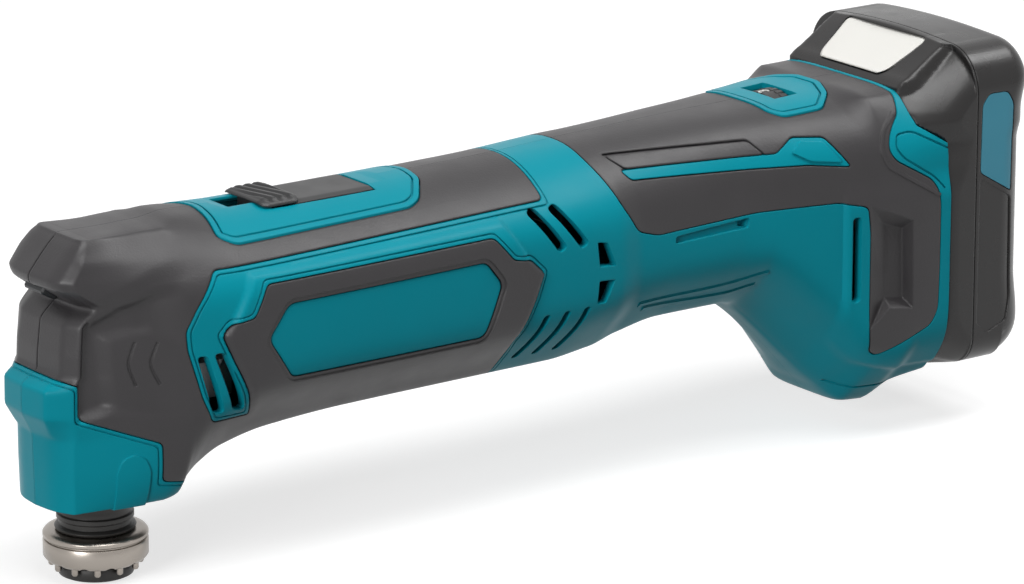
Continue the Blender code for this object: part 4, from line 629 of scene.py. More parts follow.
def gathered(items):
    """Puts pieces that don't touch into one object, to cut or join them in one go."""
    work = bmesh.new()
    for item in items:
        work.from_mesh(item.data)
        drop(item)
    return link(mesh_from(work))


def placed(level, a, b, along):
    return {"X": (level, a, b), "Y": (a, level, b), "Z": (a, b, level)}[along]


def loft(rings):
    """A solid through rings that have the same number of points, closed at both ends."""
    points = [point for ring in rings for point in ring]
    index = np.arange(len(points)).reshape(len(rings), -1)
    quads = quads_of(np.pad(index, ((0, 0), (0, 1)), mode="wrap"))
    return link(mesh_of(points, [index[0].tolist(), index[-1].tolist(), *quads.tolist()]))


def field_solid(one, other):
    """A solid between two grids of points of the same size, with grids as arrays of X, Y and Z."""
    rows, columns = one.shape[:2]
    count = rows * columns
    index = np.arange(count).reshape(rows, columns)
    quads = quads_of(index)
    faces = quads.tolist() + (quads + count).tolist()
    rim = np.concatenate([index[0, :], index[1:, -1], index[-1, -2::-1], index[-2:0:-1, 0]]).tolist()
    for a, b in zip(rim, rim[1:] + rim[:1]):
        faces.append([a, b, b + count, a + count])
    points = np.concatenate([one.reshape(-1, 3), other.reshape(-1, 3)])
    return link(mesh_of(points.tolist(), faces))


def prism(outline, along, low, high):
    """An outline in Y and Z (along X), X and Z (along Y) or X and Y (along Z), made solid."""
    return loft([[placed(level, a, b, along) for a, b in outline] for level in (low, high)])


def turned(profile, along="Z", centre=(0.0, 0.0, 0.0), steps=96):
    """A closed profile of radius and place along the axis, turned about that axis."""
    points = []
    for step in range(steps):
        angle = math.tau * step / steps
        for radius, place in profile:
            point = placed(place, radius * math.cos(angle), radius * math.sin(angle), along)
            points.append([centre[i] + point[i] for i in range(3)])
    index = np.arange(len(points)).reshape(steps, -1)
    quads = quads_of(np.pad(index, ((0, 1), (0, 1)), mode="wrap"))
    return link(mesh_of(points, quads.tolist()))


def rod(radius, low, high, along="Z", centre=(0.0, 0.0, 0.0), steps=48):
    return turned(((0, low), (radius, low), (radius, high), (0, high)), along, centre, steps)


def rounded(outline, radius, steps=5):
    """The outline with its corners rounded."""
    points = [Vector(point) for point in outline]
    result = []
    for i, point in enumerate(points):
        before = points[i - 1] - point
        after = points[(i + 1) % len(points)] - point
        reach = min(radius, 0.45 * before.length, 0.45 * after.length)
        start = point + before.normalized() * reach
        end = point + after.normalized() * reach
        result += [tuple(place) for place in bent(start, point, end, steps)]
    return result


def grown(outline, distance):
    """The outline moved outwards by a distance, or inwards where it is negative."""
    points = [Vector(point) for point in outline]
    area = sum(points[i - 1].cross(points[i]) for i in range(len(points)))
    turn = 1.0 if area > 0 else -1.0
    moved = []
    for i, point in enumerate(points):
        before = (point - points[i - 1]).normalized()
        after = (points[(i + 1) % len(points)] - point).normalized()
        normal_before = Vector((before.y, -before.x)) * turn
        normal_after = Vector((after.y, -after.x)) * turn
        middle = (normal_before + normal_after).normalized()
        moved.append(point + middle * (distance / max(middle.dot(normal_after), 0.35)))
    return [tuple(point) for point in moved]


def stroke(line, width, steps=6):
    """A closed outline round an open line whose inner corners are rounded."""
    points = [Vector(point) for point in line]
    path = [points[0]]
    for before, point, after in zip(points, points[1:], points[2:]):
        reach = 0.35 * min((point - before).length, (after - point).length)
        start = point + (before - point).normalized() * reach
        end = point + (after - point).normalized() * reach
        path += bent(start, point, end, steps)
    path.append(points[-1])
    left, right = [], []
    for i, point in enumerate(path):
        along = (path[min(i + 1, len(path) - 1)] - path[max(i - 1, 0)]).normalized()
        across = Vector((-along.y, along.x)) * width / 2
        left.append(tuple(point + across))
        right.append(tuple(point - across))
    return left + right[::-1]


def both_ways(outline):
    """A half outline in plan, from front to rear on the left, completed on the right."""
    return [*outline, *((x, -y) for x, y in reversed(outline) if abs(y) > 0)]


def side_prism(outline, low=-FAR, high=-2.0):
    return prism(outline, "Y", low, high)


def plan_prism(outline, low=60.0, high=100.0):
    return prism(outline, "Z", low, high)


def box_outline(low, high, half):
    return ((low, -half), (high, -half), (high, half), (low, half))


def block(x_range, y_range, z_range):
    low, high = z_range
    left, right = y_range
    return prism(((left, low), (right, low), (right, high), (left, high)), "X", *x_range)


def length_of(item):
    """The X range for a piece's length of body: None in front where the nose is needed."""
    xs = [vertex.co.x for vertex in item.data.vertices]
    low, high = math.floor(min(xs)) - 2.0, math.ceil(max(xs)) + 2.0
    return (None if low < 9.0 else low), min(high, REAR)


def skin(tool, outer, inner, middle=-SEAM / 2):
    """A piece of the left skin between two depths, inside a tool made from an outline."""
    front, rear = length_of(tool)
    deeper = body(inner, 1.0, rear + 0.5, front and front - 0.5)
    return cut(keep(body(outer, middle, rear, front), tool), deeper)


def groove(tool, depth):
    """The space for a groove of a depth below the left surface, inside a tool."""
    front, rear = length_of(tool)
    deeper = body(depth, 1.5, rear + 0.5, front and front - 0.5)
    return cut(keep(body(-1.5, 1.0, rear, front), tool), deeper)


def line_groove(line, width, depth):
    return groove(side_prism(stroke(line, width)), depth)


# Materials

GRAIN_HEIGHT = 0.0002
UNEVENNESS = 0.07


def feed(tree, node, inputs):
    """Gives a node's inputs their constants, or links them to other nodes' outputs."""
    for name, value in inputs.items():
        if isinstance(value, bpy.types.NodeSocket):
            tree.links.new(value, node.inputs[name])
        else:
            node.inputs[name].default_value = value


def noise(tree, scale, detail=2.0):
    place = tree.nodes.new("ShaderNodeTexCoord").outputs["Object"]
    node = tree.nodes.new("ShaderNodeTexNoise")
    feed(tree, node, {"Vector": place, "Scale": scale, "Detail": detail})
    return node.outputs["Fac"]


def spread(tree, value, low, high):
    node = tree.nodes.new("ShaderNodeMapRange")
    feed(tree, node, {"Value": value, "To Min": low, "To Max": high})
    return node.outputs["Result"]


def tinted(tree, value, dark, light):
    node = tree.nodes.new("ShaderNodeMix")
    node.data_type = "RGBA"
    feed(tree, node, {"Factor": value, "A": (*dark, 1.0), "B": (*light, 1.0)})
    return node.outputs["Result"]


def surface(
    name, colour, roughness, metallic=0.0, shine=0.5, grain=1500.0, bump=0.05, edge=0.2, change=0.12,
):
    """A procedural material: small colour and roughness changes, fine grain and softened edges."""
    material = bpy.data.materials.new(name)
    material.use_nodes = True
    tree = material.node_tree
    dark = [value * (1 - change) for value in colour]
    light = [min(value * (1 + change), 1.0) for value in colour]
    edges = tree.nodes.new("ShaderNodeBevel")
    edges.samples = 4
    feed(tree, edges, {"Radius": edge * MM})
    grain_bump = tree.nodes.new("ShaderNodeBump")
    feed(tree, grain_bump, {
        "Strength": bump,
        "Distance": GRAIN_HEIGHT,
        "Height": noise(tree, grain, 3.0),
        "Normal": edges.outputs["Normal"],
    })
    feed(tree, tree.nodes["Principled BSDF"], {
        "Metallic": metallic,
        "Specular IOR Level": shine,
        "Base Color": tinted(tree, noise(tree, 60.0), dark, light),
        "Roughness": spread(tree, noise(tree, 150.0), roughness - UNEVENNESS, roughness + UNEVENNESS),
        "Normal": grain_bump.outputs["Normal"],
    })
    return material


MATERIALS = {
    "teal": surface("teal_shell", (0.002, 0.27, 0.345), 0.36, shine=0.09, edge=0.4, change=0.05),
    "rubber": surface(
        "soft_grip", (0.026, 0.024, 0.026), 0.42, shine=0.42, grain=1800.0, bump=0.2, edge=0.6, change=0.2,
    ),
    "black": surface("black_plastic", (0.018, 0.018, 0.019), 0.42, shine=0.4, edge=0.25),
    "battery": surface("battery_shell", (0.009, 0.008, 0.008), 0.28, shine=0.4, grain=2000.0, edge=0.6),
    "white": surface("button_white", (0.80, 0.79, 0.75), 0.45, shine=0.3, edge=0.6, change=0.03),
    "nickel": surface("satin_nickel", (0.31, 0.28, 0.25), 0.3, 1.0, grain=3000.0, bump=0.06),
    "black_steel": surface(
        "black_steel", (0.020, 0.019, 0.018), 0.42, 0.3, grain=2500.0, bump=0.08, edge=0.25,
    ),
    "steel": surface("bright_steel", (0.62, 0.61, 0.60), 0.28, 1.0, grain=2500.0, bump=0.04),
    "aluminium": surface("cast_aluminium", (0.55, 0.56, 0.57), 0.46, 1.0, grain=1200.0, bump=0.2, edge=0.3),
    "copper": surface("copper", (0.72, 0.38, 0.22), 0.36, 1.0, grain=2000.0, bump=0.06, edge=0.15),
    "ferrite": surface("ferrite", (0.055, 0.055, 0.060), 0.7, bump=0.2),
    "cell": surface("cell_wrap", (0.10, 0.32, 0.12), 0.38, bump=0.04, edge=0.3),
    "board": surface("circuit_board", (0.02, 0.16, 0.07), 0.5, grain=1800.0, bump=0.1),
    # The lens's near-black colour is painted shade: it stands in for the dark recess under the hood where
    # the lens sits, not for the lens's own tint.
    "lens": surface("clear_lens", (0.03, 0.032, 0.034), 0.3, shine=0.2, bump=0.03, edge=0.3, change=0.04),
    "label": surface("label_teal", (0.070, 0.32, 0.44), 0.4, shine=0.25, change=0.05),
}
SLOTS = {
    "teal": "teal_plastic", "rubber": "grip_rubber", "black": "black_plastic", "battery": "battery_plastic",
    "white": "white_plastic", "nickel": "satin_nickel", "black_steel": "black_steel",
    "steel": "bright_steel", "aluminium": "cast_aluminium", "copper": "copper", "ferrite": "ferrite",
    "cell": "cell_wrap", "board": "circuit_board", "lens": "clear_lens", "label": "teal_plastic",
}
SLOT_MATERIALS = {slot: MATERIALS[name] for name, slot in reversed(SLOTS.items())}


def finished(item, name, material, body_name="housing", instead_of=(), sharp=38.0):
    """Moves a finished piece into the frame, dresses it and lets it ride on its body."""
    item.name = name
    item.data.name = name
    item.data.transform(Matrix.Translation(FRAME_SHIFT) @ Matrix.Scale(MM, 4))
    item.data.materials.clear()
    item.data.materials.append(MATERIALS[material])
    item.data.shade_smooth()
    item.data.set_sharp_from_angle(angle=math.radians(sharp))
    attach(item, body_name)
    if instead_of:
        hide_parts(*instead_of)
    return item


# Housing shells and what is set into them

FRONT_OUTLINE = rounded(FRONT_GRIP, 1.2)
REAR_OUTLINE = rounded(REAR_GRIP, 1.6)


def pocket(outline):
    """The space for a grip of this side outline, in the left shell."""
    space = keep(body(-3.0, 1.0, REAR + 1.0), side_prism(grown(outline, LINE_GAP), high=FAR))
    return cut(space, body(GRIP_DEPTH + 0.3, 2.0, REAR + 2.0))


def lens_space():
    """Room for the work light's lens under the hood."""
    low, tip = (Vector(point) for point in LENS_LINE)
    along = (tip - low).normalized()
    across = Vector((along.y, -along.x))
    middle = (low + tip) / 2
    under, over = LENS_REACH
    half = LENS_HALF_LENGTH
    corners = ((-half, under), (half, under), (half, over), (-half, over))
    outline = [tuple(middle + along * a + across * b) for a, b in corners]
    return prism(outline, "Y", -LENS_HALF, LENS_HALF)


def battery_notch(margin):
    """Room for the battery at the housing's upper rear corner, grown by a margin."""
    gap = 0.4
    behind = REAR + 20
    edge = [(x - gap - margin, z - 0.5 * margin) for z, x in CONTACT]
    cheek = side_prism([*edge, (behind, 90), (behind, edge[0][1])], high=margin - CONTACT_INNER + 0.8)
    low = CONTACT_ROOF - gap - margin
    front = CONTACT[-1, 1] - gap - margin
    roof = ((front, low), (behind, low), (behind, 95), (front, 95))
    return join(cheek, side_prism(roof, high=FAR))


def lip_ring(outline, distance, width):
    """A ring that runs round a side outline at a distance."""
    ring = side_prism(rounded(grown(outline, distance + width), 1.0), high=FAR)
    return cut(ring, side_prism(rounded(grown(outline, distance), 1.0), -FAR - 1, FAR + 1))


def side_at(x):
    """Y of the plain left side at X, on the raised strip of the leg."""
    return -(float(monotone(SECTIONS, np.array((x,)))[0, 2]) + STRIP_RISE)


def finger_pocket():
    """The tapered space of the finger pocket in the left rear grip."""
    far = [(x, -FAR, z) for x, z in POCKET_RIM]
    rim = [(x, side_at(x) - 0.05, z) for x, z in POCKET_RIM]
    floor = [(x, side_at(x) + POCKET_DEPTH, z) for x, z in POCKET_FLOOR]
    return loft([far, rim, floor])


def pocket_block(margin):
    """The stretch of the rear grip that surrounds the finger pocket."""
    return side_prism(rounded(grown(POCKET_RIM, margin), 1.0), high=-24.0 + 0.5 * margin)


def shell_half():
    """The left shell with its pockets, vents and raised lines."""
    shell = cut(body(), battery_notch(0.0))
    cut(shell, cut(body(WALL, 1.0, REAR - WALL), battery_notch(WALL)))
    for line in RIBS:
        for width, rise in RIB_STEPS:
            join(shell, skin(side_prism(stroke(line, width)), -rise, RAISED_ROOT))
    join(shell, skin(side_prism(rounded(NOSE_ARCH, 1.0)), -0.35, RAISED_ROOT))
    cut(shell, pocket(FRONT_OUTLINE), pocket(REAR_OUTLINE))
    cut(shell, keep(pocket_block(1.4), side_prism(grown(REAR_OUTLINE, LINE_GAP))))
    vents = [side_prism(rounded(outline, 1.3), high=-9.0) for outline in VENTS]
    vents += [side_prism(rounded(outline, 0.4), high=-9.0) for outline in SHARP_VENTS]
    cut(shell, gathered(vents))
    cut(shell, groove(side_prism(rounded(GROOVE_SLOT, 0.6)), 0.8), groove(side_prism(GROOVE_END), 2.0))
    cut(shell, line_groove(RIM_LINE, 0.45, 0.4), line_groove(FOOT_LINE, 0.5, 0.5))
    cut(shell, groove(lip_ring(FRONT_GRIP, 0.95, 0.3), 0.3))
    cut(shell, plan_prism(box_outline(SWITCH_TRACK[0] - 1.6, SWITCH_SLOT[1] + 0.3, SWITCH_SLOT[2] + 0.3)))
    window_low, window_high, window_half = DIAL_WINDOW
    cut(shell, plan_prism(box_outline(window_low, window_high, window_half + 2.3), 69.0))
    return cut(shell, rod(*SPINDLE_BORE), block(*RAIL_OPENING), lens_space())


def screw_bosses():
    """Tubes inside the right shell that carry the screws."""
    return gathered([rod(SCREW_BOSS, 3.0, FAR, "Y", (x, 0, z), 24) for x, z in SCREWS])


def screw_wells():
    return gathered([turned(SCREW_WELL, "Y", (x, 0, z), 24) for x, z in SCREWS])


def make_sides():
    """Shells, grips, side plates and inlays, on the left and mirrored on the right."""
    plate_outline = rounded(SIDE_PLATE, 1.6)
    inlay_outline = rounded(INLAY, 0.8)
    switch_hole = rounded(grown(both_ways(SWITCH_BEZEL), LINE_GAP), 1.5)
    dial_hole = rounded(grown(both_ways(DIAL_BEZEL), LINE_GAP), 1.5)
    front = skin(side_prism(FRONT_OUTLINE, high=FAR), 0.0, GRIP_DEPTH)
    cut(front, side_prism(grown(plate_outline, LINE_GAP)), plan_prism(switch_hole), lens_space())
    cut(front, *(line_groove(line, 0.6, 0.3) for line in NOSE_MARKS))
    cut(front, groove(side_prism(grown(plate_outline, 1.3)), 0.4))
    cut(front, groove(plan_prism(box_outline(-30.0, -6.0, 0.22), 47.0, 77.2), 0.6))
    rear = skin(side_prism(REAR_OUTLINE, high=FAR), 0.0, GRIP_DEPTH)
    join(rear, skin(side_prism(stroke(GRIP_RIDGE, 0.9)), -0.25, 0.5))
    join(rear, keep(keep(body(0.0, rear=222.0, front=198.0), pocket_block(1.0)), side_prism(REAR_OUTLINE)))
    cut(rear, finger_pocket())
    cut(rear, groove(lip_ring(GRIP_PANEL, 0.0, 0.4), 0.4))
    cut(rear, side_prism(grown(inlay_outline, LINE_GAP)), plan_prism(dial_hole))
    plate = skin(side_prism(plate_outline), 0.75, GRIP_DEPTH + 0.2)
    inlay = skin(side_prism(inlay_outline), 0.1, GRIP_DEPTH)
    join(inlay, skin(side_prism(rounded(INLAY_END, 0.6)), -0.35, RAISED_ROOT))
    shell = shell_half()
    right_shell = mirrored(shell)
    inner = body(WALL - 0.4)
    join(right_shell, keep(screw_bosses(), mirrored(inner)))
    drop(inner)
    parts = (
        (shell, right_shell, "shell", "teal", "housing"),
        (front, mirrored(front), "front_grip", "rubber", "front_grip"),
        (rear, mirrored(rear), "rear_grip", "rubber", "rear_grip"),
        (plate, mirrored(plate), "side_plate", "teal", "side_plate"),
        (inlay, mirrored(inlay), "inlay", "teal", "inlay"),
    )
    for item, twin, name, material, node in parts:
        cut(twin, screw_wells())
        finished(item, f"{name}_left", material, instead_of=(f"left_{node}",))
        finished(twin, f"{name}_right", material, instead_of=(f"right_{node}",))


def line_ring(outline, distance, width):
    """A ring that follows an outline in plan, inside it by a distance."""
    ring = plan_prism(grown(outline, -distance))
    return cut(ring, plan_prism(grown(outline, -distance - width), 50.0, 110.0))


def bezel(half_outline, opening):
    """A plate let into the top, with a line round it and an opening."""
    outline = rounded(both_ways(half_outline), 1.5)
    plate = skin(plan_prism(outline), -0.3, GRIP_DEPTH, 0.1)
    cut(plate, groove(line_ring(outline, 1.3, 0.5), 0.25))
    join(plate, mirrored(plate))
    return cut(plate, opening)


# Switch and dial


def knob_seat(y):
    """Height of the arch on which the knob slides, at arrays of Y."""
    top, shoulder, half, power = KNOB_SEAT
    return np.minimum(top - (top - shoulder) * (np.abs(y) / half) ** power, KNOB_FLAT)


def arched_slab(low, high, half, under, over):
    """A slab over a box in plan that follows the knob's arch between two heights."""
    x, y = np.meshgrid(np.linspace(low, high, 12), np.linspace(-half, half, 41), indexing="ij")
    seat = knob_seat(y)
    return field_solid(np.stack([x, y, seat + over], axis=2), np.stack([x, y, seat + under], axis=2))


def make_bezels():
    plate = bezel(SWITCH_BEZEL, plan_prism(box_outline(*SWITCH_SLOT)))
    cut(plate, plan_prism(box_outline(*SWITCH_TRACK)))
    over_dish = [(SWITCH_DISH[-1][0], 95.0), (SWITCH_DISH[0][0], 95.0)]
    cut(plate, prism([*SWITCH_DISH, *over_dish], "Y", -FAR, FAR))
    track_low, track_high, track_half = SWITCH_TRACK
    cut(plate, arched_slab(track_low - 1.6, track_high, track_half + 1.6, -7.0, -0.9))
    finished(plate, "switch_plate", "teal", instead_of=("switch_bezel",))
    plate = bezel(DIAL_BEZEL, plan_prism(box_outline(*DIAL_WINDOW)))
    finished(plate, "dial_plate", "teal", instead_of=("dial_bezel",))


def make_switch():
    """Slider plate and the ribbed knob that slides over the arch of the switch plate."""
    low, high, half = KNOB
    x, y = np.meshgrid(np.linspace(low, high, 90), np.linspace(-half, half, 70), indexing="ij")
    across = np.abs(y) - (half - KNOB_CORNER)
    along = np.abs(x - (low + high) / 2) - ((high - low) / 2 - KNOB_CORNER)
    depth = np.clip((KNOB_CORNER - past_corner(across, along)) / KNOB_EDGE, 0.0, 1.0)
    dome = np.sqrt(np.clip(1 - (1 - depth) ** 2, 0.0, 1.0))
    bow = 0.02 * y * np.abs(y)
    wave = np.cos((x - low + bow + 0.8 * np.sin(y * 0.3)) * math.tau / KNOB_RIB_PITCH)
    ribs = KNOB_RIB_HEIGHT * np.clip(wave + 0.2, -0.8, 0.8) * soft_step(depth, 0.3, 0.9)
    seat = knob_seat(y)
    over = np.stack([x, y, seat + 0.3 + KNOB_HEIGHT * dome + ribs], axis=2)
    knob = field_solid(over, np.stack([x, y, seat], axis=2))
    keep(knob, prism(rounded(box_outline(low, high, half), KNOB_CORNER, 9), "Z", 70.0, 100.0))
    join(knob, prism(box_outline(*SLIDER_STEM), "Z", *STEM_LEVELS))
    join(knob, arched_slab(*SLIDER_WEB, SLIDER_LEVELS[0] + 0.2, 0.4))
    join(knob, arched_slab(*SLIDER, *SLIDER_LEVELS))
    finished(knob, "slide_knob", "black", "switch", ("switch_knob",))


def number_solid(number):
    """A plain number, flat on the Z plane, as a thin solid."""
    curve = bpy.data.curves.new("number", "FONT")
    curve.body = str(number)
    curve.size = NUMBER_SIZE
    curve.extrude = NUMBER_HALF_DEPTH
    curve.align_x = "CENTER"
    curve.align_y = "CENTER"
    item = link(curve)
    work = bmesh.new()
    work.from_mesh(evaluated_mesh(item))
    drop(item)
    bmesh.ops.remove_doubles(work, verts=work.verts, dist=1e-4)
    return link(mesh_from(work))


def make_dial():
    """Speed wheel with a knurled half and plain numbers round its smooth half."""
    front, rear = DIAL_ENDS
    middle = (front + rear) / 2 + 0.6
    angles = np.linspace(0.0, math.tau, DIAL_POINTS, endpoint=False)
    knurl = DIAL_TOOTH * np.clip(1.4 * np.cos(angles * DIAL_TEETH), -1.0, 0.0)
    rings = []
    for x, less, share in (
        (front, 0.7, 0.0), (front + 0.5, 0.2, 0.0), (middle, 0.2, 0.0), (middle + 0.1, 0.0, 1.0),
        (rear - 0.5, 0.0, 1.0), (rear, 0.5, 1.0),
    ):
        radius = DIAL_RADIUS - less + share * knurl
        y, z = radius * np.sin(angles), DIAL_AXIS_Z + radius * np.cos(angles)
        rings.append(list(zip(np.full(DIAL_POINTS, x), y, z)))
    finished(loft(rings), "dial_wheel", "black", "dial", ("speed_dial",))
    numbers = []
    upright = Matrix(((0, -1, 0, 0), (1, 0, 0, 0), (0, 0, 1, 0), (0, 0, 0, 1)))
    for number in range(1, DIAL_NUMBERS + 1):
        item = number_solid(number)
        turn = Matrix.Rotation((number - (DIAL_NUMBERS + 1) / 2) * DIAL_STEP, 4, "X")
        place = Matrix.Translation(((front + middle) / 2, 0.0, DIAL_AXIS_Z))
        item.data.transform(place @ turn @ Matrix.Translation((0.0, 0.0, DIAL_RADIUS - 0.2)) @ upright)
        numbers.append(item)
    finished(gathered(numbers), "dial_numbers", "white", "dial")


# Tool holder


def make_holder():
    """Flange with its pins, grooved neck and bolt."""
    flange = turned(FLANGE)
    scallops = []
    pins = []
    for number in range(PIN_COUNT):
        angle = math.tau * number / PIN_COUNT
        scallop = rod(*SCALLOP, "X", (0.0, 0.0, SCALLOP_Z), 24)
        scallop.data.transform(Matrix.Rotation(angle + math.pi / PIN_COUNT, 4, "Z"))
        scallops.append(scallop)
        place = (PIN_CIRCLE * math.cos(angle), PIN_CIRCLE * math.sin(angle), 0.0)
        pins.append(turned(PIN, "Z", place, 20))
    cut(flange, gathered(scallops))
    join(flange, gathered(pins))
    finished(flange, "flange", "nickel", "spindle", ("holder_flange",))
    finished(turned(NECK), "neck", "black_steel", "spindle", ("spindle_collar",))
    bolt = turned(BOLT)
    corners = [math.tau * i / 6 for i in range(6)]
    socket = [(BOLT_SOCKET * math.cos(angle), BOLT_SOCKET * math.sin(angle)) for angle in corners]
    cut(bolt, prism(socket, "Z", *BOLT_SOCKET_LEVELS))
    finished(bolt, "clamp_bolt", "black_steel", "spindle", ("holder_bolt",))


# Battery


def battery_edge(y, z, shrink, corners=BATTERY_CORNERS):
    """Distance in from the battery's outline seen along X, at arrays of Y and Z."""
    middle = (BATTERY_LOW + BATTERY_HIGH) / 2
    corner = np.where(z < middle, *corners)
    across = np.abs(y) - (BATTERY_HALF - corner)
    up = np.abs(z - middle) - ((BATTERY_HIGH - BATTERY_LOW) / 2 - corner)
    return np.maximum(corner - shrink - past_corner(across, up), 0.0)


def quarter(distance, radius):
    """How far a round edge of this radius falls back, a distance in from the edge."""
    t = np.clip(1 - distance / radius, 0.0, 1.0)
    return radius * (1 - np.sqrt(np.clip(1 - t * t, 0.0, 1.0)))


def housing_outline():
    """The housing's rear end seen along X, as Y and Z."""
    ring = station_rings(np.array((REAR - 4.0,)), 0.0)[0]
    left = [(y, z) for _, y, z in ring]
    return left + [(-y, z) for y, z in reversed(left)]


HOUSING_END = housing_outline()


def battery_front(y, z, shrink):
    """X of the front face: against the housing inside its outline, falling back outside it."""
    contact = read_off(CONTACT, z)
    contact = np.where((np.abs(y) < CONTACT_INNER + 1.2) & (z < CONTACT_ROOF), BATTERY_FRONT, contact)
    outside = np.maximum(0.7 - inside_distance(y, z, HOUSING_END), 0.0)
    fall = 2.4 * (1 - np.exp(-outside / 1.8)) + 1.5 * outside
    plain = contact + fall + shrink + quarter(battery_edge(y, z, shrink), 2.6)
    beside = np.maximum(np.abs(y) - TONGUE_HALF, 0.0)
    tongue = read_off(TONGUE, z) + shrink + 1.6 * beside ** 2
    tongue = np.where(z > CONTACT_ROOF, tongue, 999.0)
    blend = 0.6
    least = np.minimum(plain, tongue)
    joined = least - blend * np.log(np.exp((least - plain) / blend) + np.exp((least - tongue) / blend))
    return np.minimum(joined, BATTERY_SEAM - 0.6)


def battery_rear(y, z, shrink):
    beside = soft_step(np.abs(y), 19.0, 29.0)
    radius = 9.0 - 3.0 * soft_step(z, 74.0, 84.0) - 4.2 * soft_step(30.0 - z, 0.0, 12.0) * (1 - beside)
    waist = 1.1 * soft_step(72.0 - z, 0.0, 5.0) * soft_step(z, 22.0, 34.0)
    return BATTERY_BACK - shrink - waist - quarter(battery_edge(y, z, shrink, BATTERY_REAR_CORNERS), radius)


def battery_solid(shrink=0.0):
    """The battery's outer form, drawn in by a distance, from a front and a rear height field."""
    low_corner, high_corner = (corner - shrink for corner in BATTERY_CORNERS)
    low, high = BATTERY_LOW + shrink, BATTERY_HIGH - shrink
    bend = 1 - np.cos(np.linspace(0.0, math.pi / 2, 14))
    rows = np.concatenate([
        low + low_corner * bend, np.arange(low + low_corner + 1.2, 66.0, 1.2),
        np.arange(66.0, high - 1.0, 0.6), high - high_corner * bend,
    ])
    rows = np.unique(np.round(rows, 4))
    corner = np.where(rows < 50.0, low_corner, high_corner)
    past = np.maximum(np.maximum(low + corner - rows, rows - high + corner), 0.0)
    half = BATTERY_HALF - shrink - corner + np.sqrt(np.maximum(corner ** 2 - past ** 2, 0.0))
    across = np.sin(np.linspace(-math.pi / 2, math.pi / 2, 121))
    y = half[:, None] * across[None, :]
    z = np.repeat(rows[:, None], len(across), axis=1)
    front, rear = battery_front(y, z, shrink), battery_rear(y, z, shrink)
    z = z + BATTERY_CROWN * (1 - across[None, :] ** 2) * soft_step(z, 84.0, BATTERY_HIGH)
    return field_solid(np.stack([front, y, z], axis=2), np.stack([rear, y, z], axis=2))


def tongue_slab(proud, depth):
    """A slab that follows the battery's sloped face, between two depths."""
    places = (83.2, 83.7, 84.6, 86.0, 88.0, 90.0, 90.4, 91.4, 93.0, 95.0)
    front = [(float(read_off(TONGUE, z)), z) for z in places]
    band = [(x - proud, z) for x, z in front] + [(x + depth, z) for x, z in reversed(front)]
    return prism(band, "Y", -25.0, 25.0)


def channel_block(front, rear, half, top):
    return block((front, rear), (-half, half), (CHANNEL_LOW, top))


def make_battery():
    """Front and rear case, with the rail's channel and the labels, and the release button."""
    solid = cut(battery_solid(), battery_solid(BATTERY_WALL))
    button_outline = rounded(BUTTON, BUTTON_CORNER)
    cut(solid, keep(prism(grown(button_outline, 0.35), "X", *BUTTON_REACH), tongue_slab(6.0, 6.0)))
    join(solid, keep(channel_block(*CHANNEL_WALL), battery_solid(1.0)))
    cut(solid, *(channel_block(*stretch) for stretch in CHANNEL))
    near, far = CLIP_SLIT
    for side in (-1, 1):
        cut(solid, block(SLIT_REACH, (side * near, side * far), (CHANNEL_LOW, SLIT_TOP)))
    labels = []
    for side in (-1, 1):
        outline = rounded(LABEL, 1.2)
        reach = (-FAR, -20.0) if side < 0 else (20.0, FAR)
        patch = keep(battery_solid(0.05), prism(grown(outline, -0.25), "Y", *reach))
        labels.append(cut(patch, battery_solid(0.45)))
        for recess, depth in ((outline, 0.5), (rounded(LABEL_PANEL, 1.0), 0.3)):
            space = keep(battery_solid(-1.0), prism(recess, "Y", *reach))
            cut(solid, cut(space, battery_solid(depth)))
    front = copied(solid)
    cut(front, plan_prism(box_outline(BATTERY_SEAM - BATTERY_SEAM_GAP, 300.0, FAR), -20.0, 120.0))
    cut(solid, plan_prism(box_outline(200.0, BATTERY_SEAM + BATTERY_SEAM_GAP, FAR), -20.0, 120.0))
    finished(front, "battery_front", "battery", "battery", ("battery_front_case",))
    finished(solid, "battery_rear", "battery", "battery", ("battery_rear_case",))
    for label, name in zip(labels, ("label_left", "label_right")):
        finished(label, name, "label", "battery")
    button = keep(prism(button_outline, "X", *BUTTON_REACH), tongue_slab(0.6, 2.6))
    finished(button, "battery_button", "white", "battery_button", ("release_button",))


make_sides()
make_bezels()
make_switch()
make_dial()
make_holder()
make_battery()

node_slots = {row["node"]: row["material_slot"] for row in frame["record"]["subparts"]}
for node_name, node_object in frame["nodes"].items():
    node_object.data.materials.clear()
    node_object.data.materials.append(SLOT_MATERIALS[node_slots[node_name]])


# Floor, light and camera


def seen_directly(tree):
    """1 for rays that show the background itself, 0 for rays that carry its light."""
    path = tree.nodes.new("ShaderNodeLightPath")
    value = path.outputs["Is Camera Ray"]
    for ray in ("Is Glossy Ray", "Is Transmission Ray"):
        either = tree.nodes.new("ShaderNodeMath")
        either.operation = "MAXIMUM"
        tree.links.new(value, either.inputs[0])
        tree.links.new(path.outputs[ray], either.inputs[1])
        value = either.outputs["Value"]
    return value


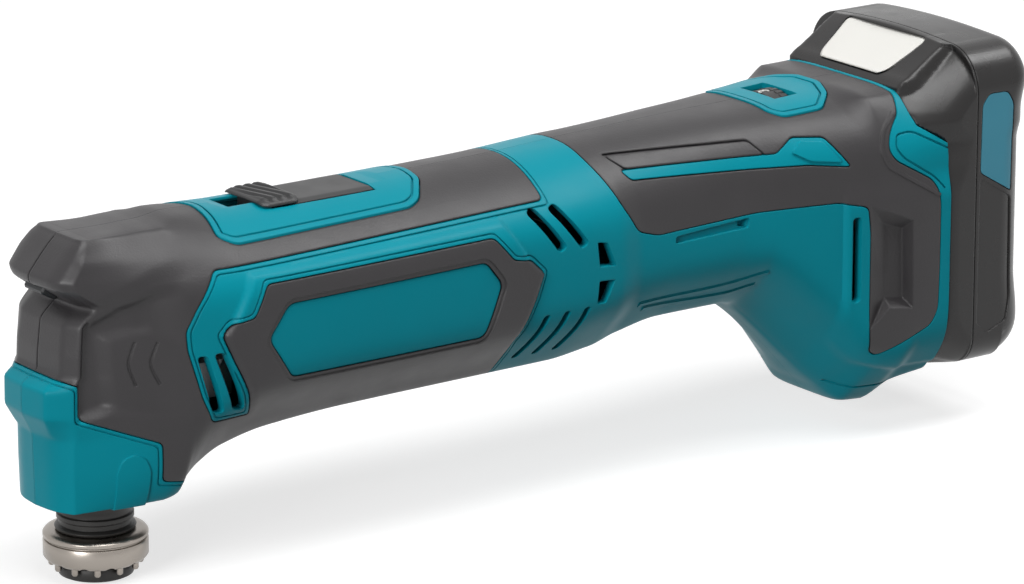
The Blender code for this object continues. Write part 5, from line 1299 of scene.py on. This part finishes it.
def make_floor():
    bpy.ops.mesh.primitive_plane_add(size=8.0, location=(0.0, 0.0, -0.0004))
    floor = bpy.context.object
    floor.name = "floor"
    material = bpy.data.materials.new("floor")
    material.use_nodes = True
    tree = material.node_tree
    direct = seen_directly(tree)
    feed(tree, tree.nodes["Principled BSDF"], {
        "Roughness": 0.9,
        "Specular IOR Level": 0.1,
        "Base Color": tinted(tree, direct, (0.18, 0.18, 0.18), (0.46, 0.46, 0.46)),
        "Emission Color": (1.0, 1.0, 1.0, 1.0),
        "Emission Strength": spread(tree, direct, 0.0, 0.72),
    })
    floor.data.materials.append(material)


# Lamps: place, size, power
LAMPS = {
    "over": ((-0.1, -0.35, 1.3), (0.9, 0.6), 11.0),
    "back": ((0.75, -0.2, 1.1), (0.5, 0.5), 6.0),
    "front": ((-1.3, -0.55, 0.5), (0.5, 0.5), 11.0),
}
LAMP_TARGET = Vector((0.0, 0.0, 0.05))


def make_lamp(name, place, size, power):
    data = bpy.data.lights.new(name, "AREA")
    data.shape = "RECTANGLE"
    data.size, data.size_y = size
    data.energy = power
    lamp = link(data, name)
    lamp.location = place
    lamp.rotation_euler = (LAMP_TARGET - Vector(place)).to_track_quat("-Z", "Y").to_euler()


def make_world():
    world = bpy.data.worlds.new("studio")
    world.use_nodes = True
    tree = world.node_tree
    strength = spread(tree, seen_directly(tree), 0.10, 1.0)
    feed(tree, tree.nodes["Background"], {"Color": (1.0, 1.0, 1.0, 1.0), "Strength": strength})
    bpy.context.scene.world = world


CAMERA_AZIMUTH = math.radians(36.0)
CAMERA_ELEVATION = math.radians(16.0)
CAMERA_DISTANCE = 1.340
CAMERA_TARGET = Vector((0.1174, 0.0, 0.0428)) + FRAME_SHIFT
SENSOR_WIDTH = 36.0
# Focal length as a share of the picture's width
FOCAL_SHARE = 5630.0 / 1024.0


def make_camera():
    data = bpy.data.cameras.new("camera")
    data.sensor_width = SENSOR_WIDTH
    data.lens = FOCAL_SHARE * SENSOR_WIDTH
    data.clip_start = 0.05
    camera = link(data, "camera")
    flat = math.cos(CAMERA_ELEVATION)
    away = Vector((
        -flat * math.sin(CAMERA_AZIMUTH), -flat * math.cos(CAMERA_AZIMUTH), math.sin(CAMERA_ELEVATION),
    ))
    camera.location = CAMERA_TARGET + away * CAMERA_DISTANCE
    camera.rotation_euler = (-away).to_track_quat("-Z", "Y").to_euler()
    bpy.context.scene.camera = camera


make_floor()
make_world()
for lamp_name, lamp_sizes in LAMPS.items():
    make_lamp(lamp_name, *lamp_sizes)
make_camera()
bpy.context.scene.view_settings.view_transform = "Standard"
